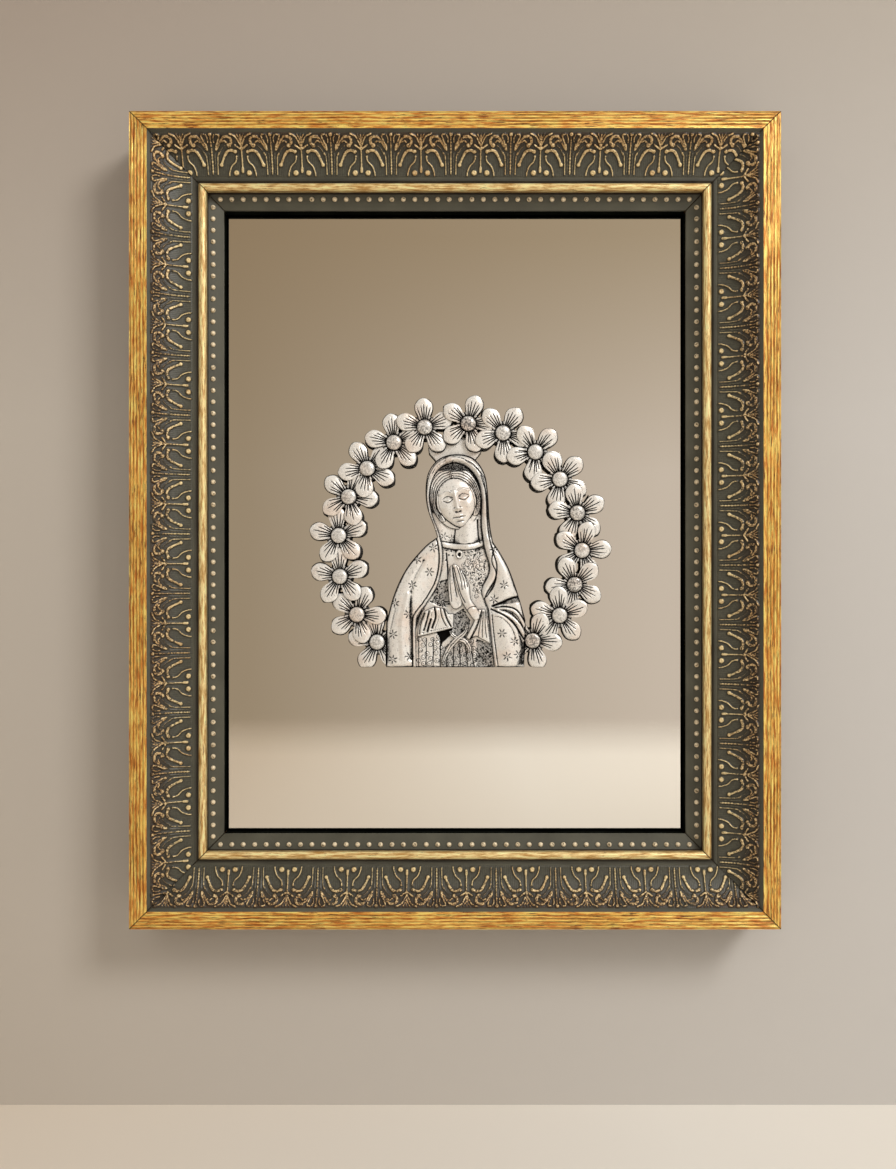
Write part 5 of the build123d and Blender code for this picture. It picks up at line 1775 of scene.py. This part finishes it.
class MIRROR_OT_wreath(bpy.types.Operator):
    """Make the seventeen flowers, the foam behind them and their bosses."""

    bl_idname = "mirror.wreath"
    bl_label = "Wreath"

    def execute(self, context):
        casting = context.scene.casting
        tin = tin_finish(casting, "wreath_tin")
        mottled = tin_finish(casting, "boss_tin", 0.9)
        places = flower_places(casting)
        mantle = mantle_outline() * figure_unit() + np.array([casting.middle, FOOT])
        outlines = [build_flower(index, casting, places, mantle, tin) for index in range(len(places))]
        build_foam(outlines, soft_finish("cut_foam_and_shade", srgb(30, 30, 31), srgb(16, 16, 18), 1500.0, 0.9))
        axes = [flower_axes(casting, places, index) for index in range(len(places))]
        facing = np.array([normal for *_, normal in axes])
        sunk = 0.1 * MM
        seats = np.array([origin for origin, *_ in axes]) + facing * (casting.plate - sunk)
        carrier = new_mesh("boss_places", seats, [])
        facings = carrier.attributes.new("facing", "FLOAT_VECTOR", "POINT").data
        facings.foreach_set("vector", facing.astype(np.float32).ravel())
        blank = show("boss_blank", boss_blank(casting))
        bosses = scatter_tree().grow(carrier, Blank=blank, Seed=4, Finish=mottled)
        bpy.data.objects.remove(blank)
        settle("wreath_bosses", bosses, ["flower_bosses"], crease=60)
        return {"FINISHED"}


class MIRROR_OT_figure(bpy.types.Operator):
    """Sculpt the veiled figure, piece by piece."""

    bl_idname = "mirror.figure"
    bl_label = "Figure"

    def execute(self, context):
        tin = tin_finish(context.scene.casting, "figure_tin")
        for sculpt in (sculpt_mantle, sculpt_gown, sculpt_head, sculpt_sleeves, sculpt_hands):
            sculpt(tin)
        for sculpt in (sculpt_sash, sculpt_brooch, sculpt_crown_plate):
            sculpt(tin)
        return {"FINISHED"}


class MIRROR_OT_fittings(bpy.types.Operator):
    """Give the glass, the board and the metal fittings their finishes."""

    bl_idname = "mirror.fittings"
    bl_label = "Glass and fittings"

    def execute(self, context):
        zinc = plain_metal("zinc_plate", srgb(196, 196, 198), srgb(140, 141, 146), 0.3)
        finishes = {
            "mirror_pane": mirror_finish(context.scene.moulding),
            "backing_board": soft_finish("hardboard", srgb(134, 98, 64), srgb(98, 68, 42), 650.0, 0.8),
            "corner_v_nails": zinc,
            "turn_button_screws": zinc,
            "hanger_screws": zinc,
            "turn_button_": plain_metal("button_plate", srgb(186, 188, 192), srgb(128, 130, 136), 0.34),
            "hanger_strap_": plain_metal("brassed_strap", srgb(214, 184, 112), srgb(158, 124, 62), 0.28),
            "wall_bumpers": soft_finish("rubber", srgb(38, 38, 38), srgb(24, 24, 24), 900.0, 0.7),
            "adhesive_pads": soft_finish("foam", srgb(34, 34, 36), srgb(18, 18, 20), 1500.0, 0.9),
        }
        finishes["d_ring_"] = finishes["hanger_strap_"]
        for name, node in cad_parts.items():
            finish = next((finishes[key] for key in finishes if name.startswith(key)), None)
            for slot in node.material_slots if finish else ():
                slot.material = finish
        return {"FINISHED"}


class MIRROR_PT_panel(bpy.types.Panel):
    """The mirror's pieces and their sizes."""

    bl_idname = "MIRROR_PT_panel"
    bl_label = "Wall mirror"
    bl_space_type = "VIEW_3D"
    bl_region_type = "UI"
    bl_category = "Mirror"

    def draw(self, context):
        layout = self.layout
        for operator in OPERATORS:
            layout.operator(operator.bl_idname)
        for key in ("moulding", "ornament", "casting", "mirror_stage"):
            settings = getattr(context.scene, key)
            box = layout.box()
            box.label(text=settings.bl_rna.description)
            for name in settings.__annotations__:
                box.prop(settings, name)


SETTINGS = {
    "moulding": MouldingSettings,
    "ornament": OrnamentSettings,
    "casting": CastingSettings,
    "mirror_stage": StageSettings,
}
OPERATORS = [
    MIRROR_OT_stage,
    MIRROR_OT_rails,
    MIRROR_OT_ornament,
    MIRROR_OT_fittings,
    MIRROR_OT_wreath,
    MIRROR_OT_figure,
]


def register():
    """Make the settings, the operators and the panel known."""
    for key, group in SETTINGS.items():
        bpy.utils.register_class(group)
        setattr(bpy.types.Scene, key, PointerProperty(type=group))
    for item in (*OPERATORS, MIRROR_PT_panel):
        bpy.utils.register_class(item)


def unregister():
    """Take them away again."""
    for item in reversed((*OPERATORS, MIRROR_PT_panel)):
        bpy.utils.unregister_class(item)
    for key, group in SETTINGS.items():
        delattr(bpy.types.Scene, key)
        bpy.utils.unregister_class(group)


def main():
    """Build the whole mirror."""
    register()
    for operator in OPERATORS:
        group, name = operator.bl_idname.split(".")
        getattr(getattr(bpy.ops, group), name)()


if __name__ == "__main__":
    main()
